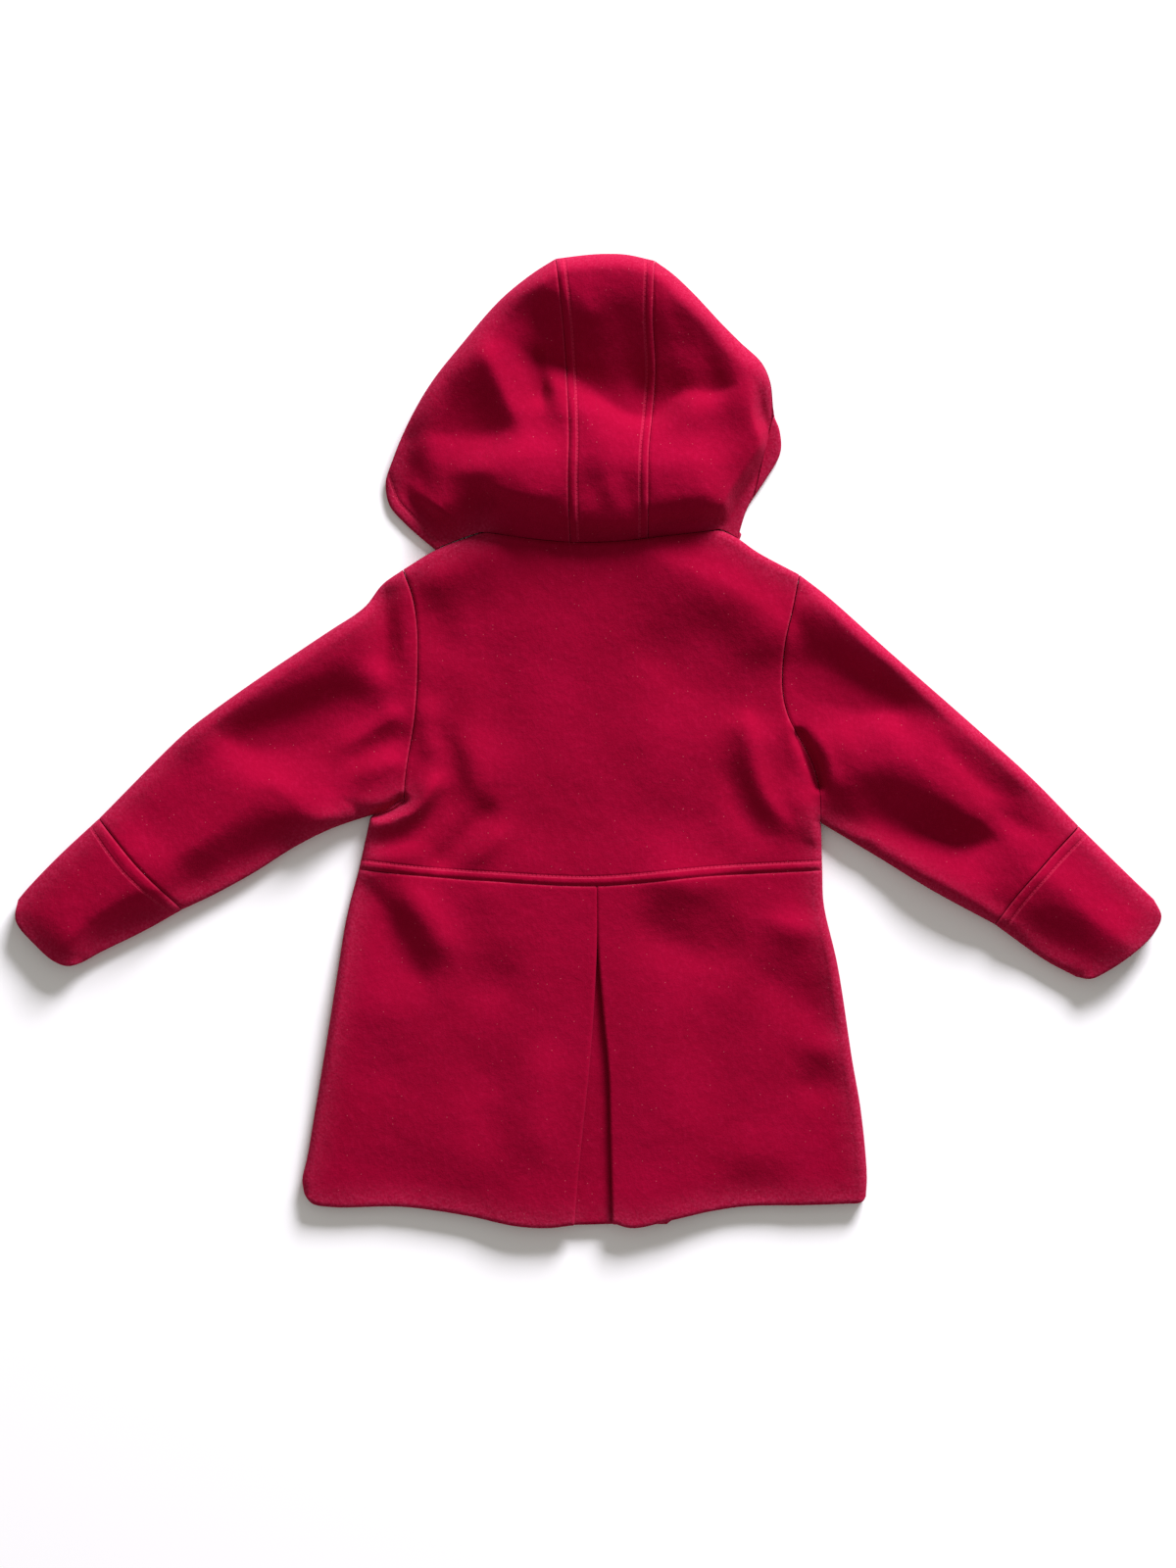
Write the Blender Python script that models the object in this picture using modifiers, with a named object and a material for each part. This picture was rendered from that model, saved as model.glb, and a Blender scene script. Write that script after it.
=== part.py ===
"""Child's hooded wool coat, lying on its front with the sleeves spread.

Every piece of cloth is an open sheet through sections, thickened with Solidify.
+X is to the right as seen from above, +Y is towards the hood, +Z is up.
The tables are in millimetres; the scene is in metres.
"""
import bpy
import bmesh
import numpy as np

# ------------------------------------------------------------------ sizes (mm)
MM = 0.001
WALL = 2.0            # thickness of the wool cloth
SEAM = 0.2            # each edge at a seam stands back by this much
LAYER = 2.6           # pitch of two cloth layers that lie on each other
SHIFT_X = -0.11       # moves the box's centre to the origin (see the end)
SHIFT_Y = 0.03
BODY_H = 9.8          # top of the back panel over the floor
BODY_EDGE = 4.6       # height of the side seams
EDGE_GAP = 0.6       # half the gap between back and front at the side seam
BODY_ROLL = 6.5       # radius in plan of the rolled sides
PLEAT_H = 12.4        # top of the back over the pleat's three layers
PLEAT_X = 6.5         # centre line of the pleat
PLEAT_FOLD = 1.3      # middle radius of a folded edge
PLEAT_IN_TOP = 24.0   # depth of the pleat at the waist
PLEAT_IN_HEM = 44.0   # depth of the pleat at the hem
SLEEVE_H = 15.0
SLEEVE_EDGE = 7.0
SLEEVE_ROLL = 11.0
SLEEVE_LINES = 7      # stretches across the top of a sleeve between its rolled edges
GUARD = 0.05          # a hair inside a rolled edge, where the wall stands upright
OVERLAP = 32.0        # each front passes the centre line by this much
RISE_AT = (0.46, 0.57)    # share of the left front's width where it climbs onto the right front
HOOD_EDGE = 7.5       # height of the hood's rolled outline at the crown
HOOD_RIM = 2.3        # height of the hemmed rim, two layers on the floor
HOOD_ROLL = 15.0
HEM_TURN = 9.0        # width of the turned hem round the face opening
FACE_TOP = 292.0      # forehead edge of the face opening
CHIN_AT = (0.0, 0.06, 0.10, 0.17, 0.25)        # share of the way up the hood ...
CHIN_REACH = (1.0, 0.66, 0.42, 0.18, 0.0)      # ... and how far the underside reaches in there

# ------------------------------------------------------- outlines, as seen from above
# Each table names its own columns: x, y.
WAIST = [(-168.5, -94.7), (-121.7, -99.7), (-72.7, -103.3), (6.5, -106.9), (90.7, -99.7), (172.4, -95.4)]
SKIRT_LEFT = [(-168.5, -94.7), (-177.1, -127.8), (-185.8, -180.4), (-193.0, -225.7), (-200.9, -273.2),
              (-206.6, -307.1), (-210.2, -322.9), (-208.8, -333.0)]
SKIRT_RIGHT = [(172.4, -95.4), (173.5, -120.6), (183.6, -165.2), (194.4, -235.1), (200.9, -273.2),
               (205.2, -320.0), (204.5, -335.2)]
HEM_LEFT = [(-208.8, -333.0), (-202.3, -339.8), (-185.8, -342.4), (-136.8, -342.0), (-87.8, -348.8),
            (-54.0, -356.0), (-29.5, -357.5), (-10.8, -355.3)]
HEM_RIGHT = [(18.7, -353.9), (32.4, -357.5), (61.2, -351.7), (90.7, -345.2), (117.4, -341.6), (154.8, -340.9),
             (188.6, -339.8), (200.9, -338.8), (204.5, -335.2)]
FLAP_LEFT = [(6.2, -106.9), (5.8, -150.8), (1.4, -225.7), (-4.3, -282.6), (-8.6, -325.8), (-10.8, -355.3)]
FLAP_RIGHT = [(6.8, -106.9), (7.9, -150.8), (11.5, -197.6), (15.8, -244.4), (17.3, -301.3), (18.7, -353.9)]
BODICE_SIDE_LEFT = [(-168.5, -94.7), (-159.8, -55.1)]
BODICE_SIDE_RIGHT = [(172.4, -95.4), (171.4, -60.8)]
ARMHOLE_LEFT = [(-159.8, -55.1), (-145.4, -51.5), (-135.4, -44.3), (-134.2, -28.4), (-131.8, -11.2),
                (-127.4, 15.5), (-125.3, 46.4), (-125.3, 81.7), (-128.9, 105.5), (-136.1, 125.6)]
ARMHOLE_RIGHT = [(171.4, -60.8), (169.9, -33.5), (165.6, -17.6), (157.0, -0.4), (147.6, 17.6), (143.3, 37.1),
                 (144.7, 70.2), (150.5, 96.8), (155.5, 122.0)]
SHOULDER_LEFT = [(-136.1, 125.6), (-112.3, 140.0), (-77.8, 153.4)]
NECK = [(-77.8, 153.4), (-45.4, 148.7), (-8.6, 145.6), (23.0, 146.5), (51.8, 149.6), (84.2, 153.4), (97.9, 154.8)]
SHOULDER_RIGHT = [(97.9, 154.8), (110.2, 148.7), (124.6, 138.6), (155.5, 122.0)]

SLEEVE_LEFT_LOW = [(-135.4, -44.3), (-145.4, -51.5), (-159.8, -55.1), (-189.4, -65.2), (-215.3, -78.1), (-246.2, -97.6), (-276.5, -114.1),
                   (-298.1, -124.2)]
SLEEVE_LEFT_UP = [(-136.1, 125.6), (-151.2, 114.8), (-162.7, 99.7), (-171.4, 92.5), (-187.2, 82.4),
                  (-215.3, 63.7), (-246.2, 42.8), (-276.5, 21.2), (-296.6, 5.4), (-359.3, -57.2)]
CUFF_LEFT_SEAM = [(-298.1, -124.2), (-310.3, -112.0), (-331.2, -91.1), (-359.3, -57.2)]
CUFF_LEFT_LOW = [(-298.1, -124.2), (-326.2, -140.0), (-360.0, -156.6), (-370.1, -162.4)]
CUFF_LEFT_UP = [(-359.3, -57.2), (-388.8, -84.6), (-411.8, -108.4), (-419.0, -117.0)]
CUFF_LEFT_END = [(-370.1, -162.4), (-381.6, -166.0), (-392.4, -162.4), (-405.4, -151.3), (-420.5, -132.8),
                 (-419.0, -117.0)]
ARMHOLE_LEFT_UPPER = ARMHOLE_LEFT[2:]
SLEEVE_RIGHT_LOW = [(171.4, -60.8), (212.4, -85.3), (253.4, -110.5), (298.8, -135.0)]
SLEEVE_RIGHT_UP = [(155.5, 122.0), (175.0, 106.9), (222.5, 64.4), (282.2, 11.9), (326.2, -27.7), (360.7, -63.0)]
CUFF_RIGHT_SEAM = [(298.8, -135.0), (315.4, -112.7), (336.2, -88.9), (360.7, -63.0)]
CUFF_RIGHT_LOW = [(298.8, -135.0), (336.2, -161.6), (359.3, -173.9)]
CUFF_RIGHT_UP = [(360.7, -63.0), (398.2, -99.7), (416.2, -117.0)]
CUFF_RIGHT_END = [(359.3, -173.9), (369.4, -175.3), (381.6, -169.6), (399.6, -157.3), (414.0, -144.4),
                  (421.5, -130.0), (416.2, -117.0)]

HOOD_NECK_LEFT = [(-13.0, 146.0), (-45.4, 148.9), (-77.8, 153.6), (-112.3, 140.6)]
HOOD_NECK_RIGHT = [(44.3, 149.0), (84.2, 153.6), (97.9, 155.2), (110.2, 149.4)]
HOOD_OUT_LEFT = [(-112.3, 140.6), (-121.7, 148.0), (-137.5, 162.4), (-146.2, 173.2), (-149.0, 189.7),
                 (-144.0, 205.6), (-131.8, 234.4), (-115.2, 263.2), (-93.6, 290.5), (-64.8, 323.6),
                 (-41.8, 342.4), (-23.8, 353.9)]
HOOD_OUT_RIGHT = [(110.2, 149.4), (117.4, 171.7), (130.3, 191.2), (141.8, 212.0), (141.1, 228.6),
                  (136.8, 240.1), (133.9, 263.2), (127.4, 277.6), (112.3, 292.0), (97.9, 306.4), (77.8, 328.0),
                  (62.6, 342.4), (49.0, 352.4)]
HOOD_SEAM_LEFT = [(-13.0, 146.0), (-14.4, 189.0), (-13.7, 220.0), (-15.1, 262.4), (-18.7, 310.7), (-23.8, 353.9)]
HOOD_SEAM_RIGHT = [(44.3, 149.0), (44.6, 209.9), (47.5, 240.1), (49.7, 270.4), (47.5, 310.7), (49.0, 352.4)]
HOOD_TOP = [(-23.8, 353.9), (0.0, 356.8), (14.4, 357.5), (28.8, 356.8), (49.0, 352.4)]

# ------------------------------------------------------------- folds of the coat's top
# x0, y0 -> x1, y1: the line of a ridge (rise > 0) or a trough (rise < 0), mm; half_width across it
COAT_FOLDS = [
    # x0,     y0,     x1,     y1,   rise, half_width
    (-168.0,  78.0, -300.0, -14.0,   6.0, 20.0),    # left sleeve, ridge along its upper edge
    (-146.0,  30.0, -282.0,   4.0,  -5.5, 20.0),    # left sleeve, trough under it
    (-190.0, -40.0, -300.0, -70.0,   6.0, 24.0),    # left sleeve, ridge along the arm
    ( 182.0,  84.0,  300.0, -20.0,   4.0, 18.0),    # right sleeve, ridge along its upper edge
    ( 150.0,  52.0,  232.0,  28.0,  -5.0, 18.0),    # right sleeve, trough below the cap
    ( 190.0,   2.0,  290.0, -55.0,   7.0, 20.0),    # right sleeve, ridge along the arm
    ( 200.0, -48.0,  300.0, -90.0,  -3.5, 14.0),    # right sleeve, trough by the lower edge
    (-128.0, -40.0, -150.0, -62.0,  -3.0,  9.0),    # left underarm
    ( 158.0, -10.0,  170.0, -40.0,  -2.5,  8.0),    # right underarm
    ( 118.0,  30.0,  134.0,  -6.0,   2.5, 12.0),    # right armhole, fold down the bodice
    ( -90.0, -60.0, -106.0, -90.0,   2.0, 14.0),    # left side above the waist
]
HOOD_FOLDS = [
    ( -90.0, 200.0,  110.0, 196.0,  20.0, 30.0),    # ridge above the neck
    ( -60.0, 325.0,   80.0, 325.0,  16.0, 34.0),    # ridge inside the crown
    ( -60.0, 255.0,   80.0, 262.0,  -4.0, 26.0),    # hollow between them
    (-118.0, 225.0,  -70.0, 300.0,   6.0, 18.0),    # left side
    ( 112.0, 225.0,   95.0, 290.0,   7.0, 20.0),    # right side
]
HOOD_H = 20.0


# ------------------------------------------------------------------------ helpers
class Path:
    """A smooth line through the rows of a table, read by its share of the length."""

    def __init__(self, *tables, smooth=True):
        rows = []
        self.corners = [0.0]
        for table in tables:
            pts = np.array(table, float)
            line = self.through(pts) if smooth and len(pts) > 2 else pts
            rows.append(line if not rows else line[1:])
        lengths = [np.linalg.norm(np.diff(r, axis=0), axis=1).sum() for r in rows]
        self.line = np.vstack(rows)
        step = np.linalg.norm(np.diff(self.line, axis=0), axis=1)
        self.length = step.sum()
        self.at = np.concatenate([[0.0], np.cumsum(step)]) / self.length

    @staticmethod
    def through(pts, n=8):
        p = np.vstack([2 * pts[0] - pts[1], pts, 2 * pts[-1] - pts[-2]])
        out = []
        for i in range(1, len(p) - 2):
            p0, p1, p2, p3 = p[i - 1], p[i], p[i + 1], p[i + 2]
            d0 = max(np.linalg.norm(p1 - p0), 1e-6) ** 0.5
            d1 = max(np.linalg.norm(p2 - p1), 1e-6) ** 0.5
            d2 = max(np.linalg.norm(p3 - p2), 1e-6) ** 0.5
            m1 = (p2 - p1) + d1 * ((p1 - p0) / d0 - (p2 - p0) / (d0 + d1))
            m2 = (p2 - p1) + d1 * ((p3 - p2) / d2 - (p3 - p1) / (d1 + d2))
            for k in range(n):
                t = k / n
                a = 2 * t ** 3 - 3 * t ** 2 + 1
                b = t ** 3 - 2 * t ** 2 + t
                c = -2 * t ** 3 + 3 * t ** 2
                d = t ** 3 - t ** 2
                out.append(a * p1 + b * m1 + c * p2 + d * m2)
        out.append(p[-2])
        return np.array(out)

    def __call__(self, t):
        t = np.asarray(t, float)
        return np.stack([np.interp(t, self.at, self.line[:, 0]), np.interp(t, self.at, self.line[:, 1])], -1)

    def share_at(self, point):
        """The share of the length nearest to a point of the table."""
        i = np.argmin(np.linalg.norm(self.line - np.array(point), axis=1))
        return self.at[i]


def coons(low, up, left, right, u, v, at_left=None, at_right=None):
    """Plan points of a four-sided piece: u runs along low and up, v along left and right.

    at_left and at_right say where each row starts and ends, as shares of those sides.
    """
    U, V = u[:, None, None], v[None, :, None]
    a, b = low(u)[:, None], up(u)[:, None]
    c = left(v if at_left is None else at_left)[None]
    d = right(v if at_right is None else at_right)[None]
    c00, c10, c01, c11 = low(0.0), low(1.0), up(0.0), up(1.0)
    return ((1 - V) * a + V * b + (1 - U) * c + U * d
            - ((1 - U) * (1 - V) * c00 + U * (1 - V) * c10 + (1 - U) * V * c01 + U * V * c11))


def distance(p, line):
    """Distance in plan from points to a line through points."""
    a, b = line[:-1], line[1:]
    d = b - a
    ll = np.maximum((d * d).sum(1), 1e-12)
    out = np.full(p.shape[:-1], 1e9)
    for i in range(len(a)):
        t = np.clip(((p - a[i]) @ d[i]) / ll[i], 0, 1)
        q = a[i] + t[..., None] * d[i]
        out = np.minimum(out, np.linalg.norm(p - q, axis=-1))
    return out


def step(e0, e1, x):
    t = np.clip((np.asarray(x, float) - e0) / (e1 - e0), 0, 1)
    return t * t * (3 - 2 * t)


def roll(d, radius):
    """0 at a rolled edge, 1 from radius inward, round between."""
    t = np.clip(np.asarray(d, float) / radius, 0, 1)
    return np.sqrt(np.maximum(1 - (1 - t) ** 2, 0))


def folds(p, table):
    out = np.zeros(p.shape[:-1])
    for x0, y0, x1, y1, rise, half in table:
        out += rise * np.exp(-(distance(p, np.array([(x0, y0), (x1, y1)])) / half) ** 2)
    return out


def arm_rows(side, first):
    """Where the rows of a body piece meet its side and armhole, as shares of first + side + armhole.

    The rows on the armhole are the lines of the sleeve, so the two edges match.
    """
    if side == "left":
        path = P(*first, BODICE_SIDE_LEFT, ARMHOLE_LEFT[:3], ARMHOLE_LEFT_UPPER)
        arm = P(ARMHOLE_LEFT_UPPER)
        low = P(*first, BODICE_SIDE_LEFT).length
        stops = [low, low + 0.5 * P(ARMHOLE_LEFT[:3]).length]
    else:
        path = P(*first, BODICE_SIDE_RIGHT, ARMHOLE_RIGHT)
        arm = P(ARMHOLE_RIGHT)
        low = P(*first, BODICE_SIDE_RIGHT).length
        stops = [low - 14.0, low - 5.0]
    start = path.length - arm.length
    marks = rolled(SLEEVE_LINES, arm.length, SLEEVE_ROLL) * arm.length
    marks = np.insert(marks, len(marks) - 1, arm.length - 0.05)
    return path, np.concatenate([stops, start + marks]) / path.length


def rolled(n_in, width, radius):
    """Shares across a piece: close together on the rolled edges, even between."""
    edge = [radius * (1 - np.cos(a)) / width for a in np.radians([0, 35, 90])]
    mid = list(np.linspace(edge[-1], 1 - edge[-1], n_in + 1))
    return np.array(edge[:-1] + mid + [1 - e for e in edge[:-1]][::-1])


# ------------------------------------------------------------------- the coat's heights
P = Path
OUTLINES = [P(*t).line for t in (
    (SKIRT_LEFT,), (SKIRT_RIGHT,), (BODICE_SIDE_LEFT,), (BODICE_SIDE_RIGHT,), (SHOULDER_LEFT,), (SHOULDER_RIGHT,),
    (SLEEVE_LEFT_LOW,), (SLEEVE_LEFT_UP,), (SLEEVE_RIGHT_LOW,), (SLEEVE_RIGHT_UP,), (CUFF_LEFT_LOW,),
    (CUFF_LEFT_UP,), (CUFF_RIGHT_LOW,), (CUFF_RIGHT_UP,))]
CUFF_ENDS = [P(CUFF_LEFT_END).line, P(CUFF_RIGHT_END).line]


def to_outline(p):
    out = np.full(p.shape[:-1], 1e9)
    for line in OUTLINES:
        out = np.minimum(out, distance(p, line))
    return out


def sleeve_share(p):
    """0 over the body, 1 over the sleeves."""
    left = step(-128, -168, p[..., 0]) * step(-62, -40, p[..., 1] + 0.0 * p[..., 0])
    left = np.maximum(left, step(-150, -185, p[..., 0]) * step(-140 - 60, -128 - 60, p[..., 1])
                      * step(-163, -175, p[..., 0]) * (p[..., 1] > -178))
    right = step(150, 190, p[..., 0]) * (p[..., 1] > -180)
    skirt = step(-70, -90, p[..., 1]) * step(-215, -205, p[..., 0]) * step(215, 205, p[..., 0])
    return np.clip(np.maximum(left, right) - skirt, 0, 1)


def coat_height(p):
    x, y = p[..., 0], p[..., 1]
    s = sleeve_share(p)
    h = BODY_H + (SLEEVE_H - BODY_H) * s
    pleat = (1 - step(50, 100, abs(x - PLEAT_X))) * step(-40, -95, y)
    h = h + (PLEAT_H - BODY_H) * pleat
    h = h - 0.9 * step(-315, -345, y) * (1 - pleat)
    ends = np.minimum(distance(p, CUFF_ENDS[0]), distance(p, CUFF_ENDS[1]))
    h = h - 4.5 * (1 - step(0, 75, ends))
    h = h + folds(p, COAT_FOLDS) * (1 - pleat)
    return np.maximum(h, BODY_H - 0.6)


def edge_of(p):
    s = sleeve_share(p)
    return BODY_EDGE + (SLEEVE_EDGE - BODY_EDGE) * s, BODY_ROLL + (SLEEVE_ROLL - BODY_ROLL) * s


def coat_top(p):
    e, r = edge_of(p)
    return e + (coat_height(p) - e) * roll(to_outline(p), r)


def coat_low(p):
    e, r = edge_of(p)
    return e * (1 - roll(to_outline(p), e))


# ------------------------------------------------------------------- the hood's heights
HOOD_LINE = P(HOOD_OUT_LEFT, HOOD_TOP).line
HOOD_LINE_R = P(HOOD_OUT_RIGHT).line


def hood_distance(p):
    return np.minimum(distance(p, HOOD_LINE), distance(p, HOOD_LINE_R))


def hood_edge(p):
    rim = np.where(p[..., 0] < 15, 1 - step(190, 225, p[..., 1]), 1 - step(228, 256, p[..., 1]))
    return HOOD_EDGE + (HOOD_RIM - HOOD_EDGE) * rim, rim


def hood_top(p):
    x, y = p[..., 0], p[..., 1]
    d = hood_distance(p)
    e, rim = hood_edge(p)
    h = HOOD_H + folds(p, HOOD_FOLDS)
    neck = y - np.interp(x, [-112, -78, -45, -8, 23, 52, 84, 98, 110], [140, 153, 148.7, 145.6, 146.5, 149.6, 153, 155, 149])
    h = np.minimum(h, 8.6 + (h - 8.6) * step(0, 42, neck))
    body = e + (h - e) * roll(d, HOOD_ROLL)
    flat = 2 * HOOD_RIM
    brim = e + (flat - e) * roll(d, HOOD_RIM * 1.3)
    over = np.where(x < 15, step(8, 24, d), step(7, 18, d))
    low = brim + (np.maximum(h, flat) - flat) * over
    return body * (1 - rim) + low * rim


def hood_low(p):
    e, rim = hood_edge(p)
    return e * (1 - roll(hood_distance(p), e * 1.3))


# ------------------------------------------------------------------------ mesh makers
ROOT = bpy.data.collections.new("hooded_coat")


def clear_scene():
    for obj in list(bpy.data.objects):
        bpy.data.objects.remove(obj, do_unlink=True)


def wool(name, colour):
    mat = bpy.data.materials.new(name)
    mat.use_nodes = True
    bsdf = mat.node_tree.nodes["Principled BSDF"]
    bsdf.inputs["Base Color"].default_value = (*colour, 1.0)
    bsdf.inputs["Roughness"].default_value = 0.92
    bsdf.inputs["Metallic"].default_value = 0.0
    return mat


def sheet(name, grid, colour, ring=False, offset=-1.0):
    """An open sheet through a grid of points, thickened to the cloth's wall."""
    nu, nv = grid.shape[:2]
    bm = bmesh.new()
    verts = [[bm.verts.new(((grid[i, j] + (SHIFT_X, SHIFT_Y, 0)) * MM).tolist()) for j in range(nv)]
             for i in range(nu)]
    for i in range(nu if ring else nu - 1):
        k = (i + 1) % nu
        for j in range(nv - 1):
            bm.faces.new((verts[i][j], verts[k][j], verts[k][j + 1], verts[i][j + 1]))
    bmesh.ops.remove_doubles(bm, verts=bm.verts, dist=1e-6)
    mesh = bpy.data.meshes.new(name)
    bm.to_mesh(mesh)
    bm.free()
    obj = bpy.data.objects.new(name, mesh)
    ROOT.objects.link(obj)
    mesh.materials.append(wool(name + "_wool", colour))
    solid = obj.modifiers.new("wall", 'SOLIDIFY')
    solid.thickness = WALL * MM
    solid.offset = offset
    solid.use_even_offset = False
    solid.use_quality_normals = True
    return obj


def up(plan, z):
    return np.concatenate([plan, np.asarray(z)[..., None]], -1)


def tube(low, top, start, end, n_in, radius, cols, name, colour):
    """A sleeve or cuff: rings of the plan's rows, flat below and full above."""
    q = rolled(n_in, start.length, radius)
    at = (np.arange(cols) / (cols - 1.0))
    s = SEAM / low.length + at * (1 - 2 * SEAM / low.length)
    plan = coons(start, end, low, top, q, s)          # q across, s along
    zt = coat_top(plan)
    zl = coat_low(plan)
    e, _ = edge_of(plan)
    for k in (0, -1):
        zt[k], zl[k] = e[k], e[k]
    over = up(plan, zt)
    under = up(plan[1:-1][::-1], zl[1:-1][::-1])
    ring = np.concatenate([over, under], 0)
    return sheet(name, ring if name.endswith("left") else ring[::-1], colour, ring=True)


# ------------------------------------------------------------------------ the pieces
def back_bodice(colour):
    side_l, at_l = arm_rows("left", ())
    side_r, at_r = arm_rows("right", ())
    low = P(WAIST)
    top = P(SHOULDER_LEFT, NECK, SHOULDER_RIGHT)
    nl, nr = top.share_at(NECK[0]), top.share_at(NECK[-1])
    edge = np.array([0, GUARD / low.length, .005, .017])
    u = np.concatenate([edge, [.07, .14, nl, .29, .38, .47, .56, .66, nr, .86, .93], 1 - edge[::-1]])
    at_l = np.concatenate([[SEAM / side_l.length, 0.5 * at_l[0]], at_l])
    at_r = np.concatenate([[SEAM / side_r.length, 0.5 * at_r[0]], at_r])
    v = 0.5 * (at_l + at_r)
    plan = coons(low, top, side_l, side_r, u, v, at_l, at_r)
    z = coat_top(plan)
    edge_z, _ = edge_of(plan)
    on_shoulder = (u <= nl) | (u >= nr)
    z[on_shoulder, -1] = edge_z[on_shoulder, -1] + EDGE_GAP
    z[on_shoulder, -2] = edge_z[on_shoulder, -2] + EDGE_GAP + 0.8
    z[[0, -1], :5] = edge_z[[0, -1], :5] + EDGE_GAP
    z[[1, -2], :5] = edge_z[[1, -2], :5] + EDGE_GAP + 0.8
    plan[:2, 4:, 0] += SEAM + 0.05
    plan[-2:, 4:, 0] -= SEAM + 0.05
    plan[:2, 2:4] += (0.3, -0.5)
    plan[~on_shoulder, -2:, 1] -= 0.25
    return sheet("back_bodice", up(plan, z), colour)


def back_skirt(colour):
    """The pleat's layers follow one another in each row: flap, return, bed, return, flap."""
    waist, hem_l, hem_r = P(WAIST), P(HEM_LEFT), P(HEM_RIGHT)
    side_l, side_r = P(SKIRT_LEFT), P(SKIRT_RIGHT)
    flap_l, flap_r = P(FLAP_LEFT), P(FLAP_RIGHT)
    v = np.array([0.0, .12, .26, .4, .54, .68, .81, .92, 1.0])
    wl = Path(waist(np.linspace(0, waist.share_at((6.5, -106.9)), 20)), smooth=False)
    wr = Path(waist(np.linspace(waist.share_at((6.5, -106.9)), 1, 20)), smooth=False)
    wl.line[-1, 0] = 6.2
    wr.line[0, 0] = 6.8
    ul = np.array([0, .0003, .008, .03, .1, .24, .4, .56, .7, .84, .95, 1.0])
    left = coons(wl, hem_l, side_l, flap_l, ul, v)
    right = coons(wr, hem_r, flap_r, side_r, 1 - ul[::-1], v)
    half = WALL / 2
    rows = []
    for j, t in enumerate(v):
        mid_l, mid_r = left[:, j].copy(), right[:, j].copy()
        depth = PLEAT_IN_TOP + (PLEAT_IN_HEM - PLEAT_IN_TOP) * t
        xl, xr = mid_l[-1, 0] - PLEAT_FOLD - 0.15, mid_r[0, 0] + PLEAT_FOLD + 0.15
        zt = float(coat_top(np.array([xl - 4.0, mid_l[-1, 1]])))
        hem_y = lambda x: np.interp(x, [mid_l[-1, 0] - 50, mid_l[-1, 0], mid_r[0, 0], mid_r[0, 0] + 50],
                                    [mid_l[-1, 1]] * 2 + [mid_r[0, 1]] * 2)
        pts = []
        zl = coat_top(mid_l)
        zl[0] = float(edge_of(mid_l[:1])[0][0]) + EDGE_GAP
        zl[1] = zl[0] + 0.8
        keep = mid_l[:, 0] < xl - 0.5
        # the panel is drawn through the middle of its wall
        for (x, y), z, k in zip(mid_l, zl, range(len(zl))):
            if not keep[k]:
                continue
            side = max(0.0, 1 - k / 3.0)
            pts.append((x + half * (1 if k == 0 else side), y, z - half * (1 - side if k else 0)))
        top_z = zt - half
        for a in np.linspace(0, 180, 4):
            r = np.radians(a)
            pts.append((xl + PLEAT_FOLD * np.sin(r), hem_y(xl), top_z - PLEAT_FOLD * (1 - np.cos(r))))
        z2 = top_z - 2 * PLEAT_FOLD
        inner = xl - depth
        pts.append((0.5 * (xl + inner), hem_y(xl), z2))
        for a in np.linspace(0, 180, 4):
            r = np.radians(a)
            pts.append((inner - PLEAT_FOLD * np.sin(r), hem_y(inner), z2 - PLEAT_FOLD * (1 - np.cos(r))))
        z3 = z2 - 2 * PLEAT_FOLD
        outer = xr + depth
        for f in (.2, .4, .6, .8):
            x = inner + f * (outer - inner)
            pts.append((x, hem_y(x), z3))
        for a in np.linspace(180, 0, 4):
            r = np.radians(a)
            pts.append((outer + PLEAT_FOLD * np.sin(r), hem_y(outer), z2 - PLEAT_FOLD * (1 - np.cos(r))))
        pts.append((0.5 * (xr + outer), hem_y(xr), z2))
        for a in np.linspace(180, 0, 4):
            r = np.radians(a)
            pts.append((xr - PLEAT_FOLD * np.sin(r), hem_y(xr), top_z - PLEAT_FOLD * (1 - np.cos(r))))
        zr = coat_top(mid_r)
        zr[-1] = float(edge_of(mid_r[-1:])[0][0]) + EDGE_GAP
        zr[-2] = zr[-1] + 0.8
        keep = mid_r[:, 0] > xr + 0.5
        n = len(zr)
        for (x, y), z, k in zip(mid_r, zr, range(n)):
            if not keep[k]:
                continue
            m = n - 1 - k
            side = max(0.0, 1 - m / 3.0)
            pts.append((x - half * (1 if m == 0 else side), y, z - half * (1 - side if m else 0)))
        rows.append(np.array(pts))
    count = min(len(r) for r in rows)
    if any(len(r) != count for r in rows):
        raise ValueError("rows of the skirt differ: %s" % [len(r) for r in rows])
    grid = np.array(rows).transpose(1, 0, 2)
    grid[:, 0, 1] -= SEAM * 1.2
    return sheet("back_skirt", grid[:, ::-1], colour, offset=0.0)


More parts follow.
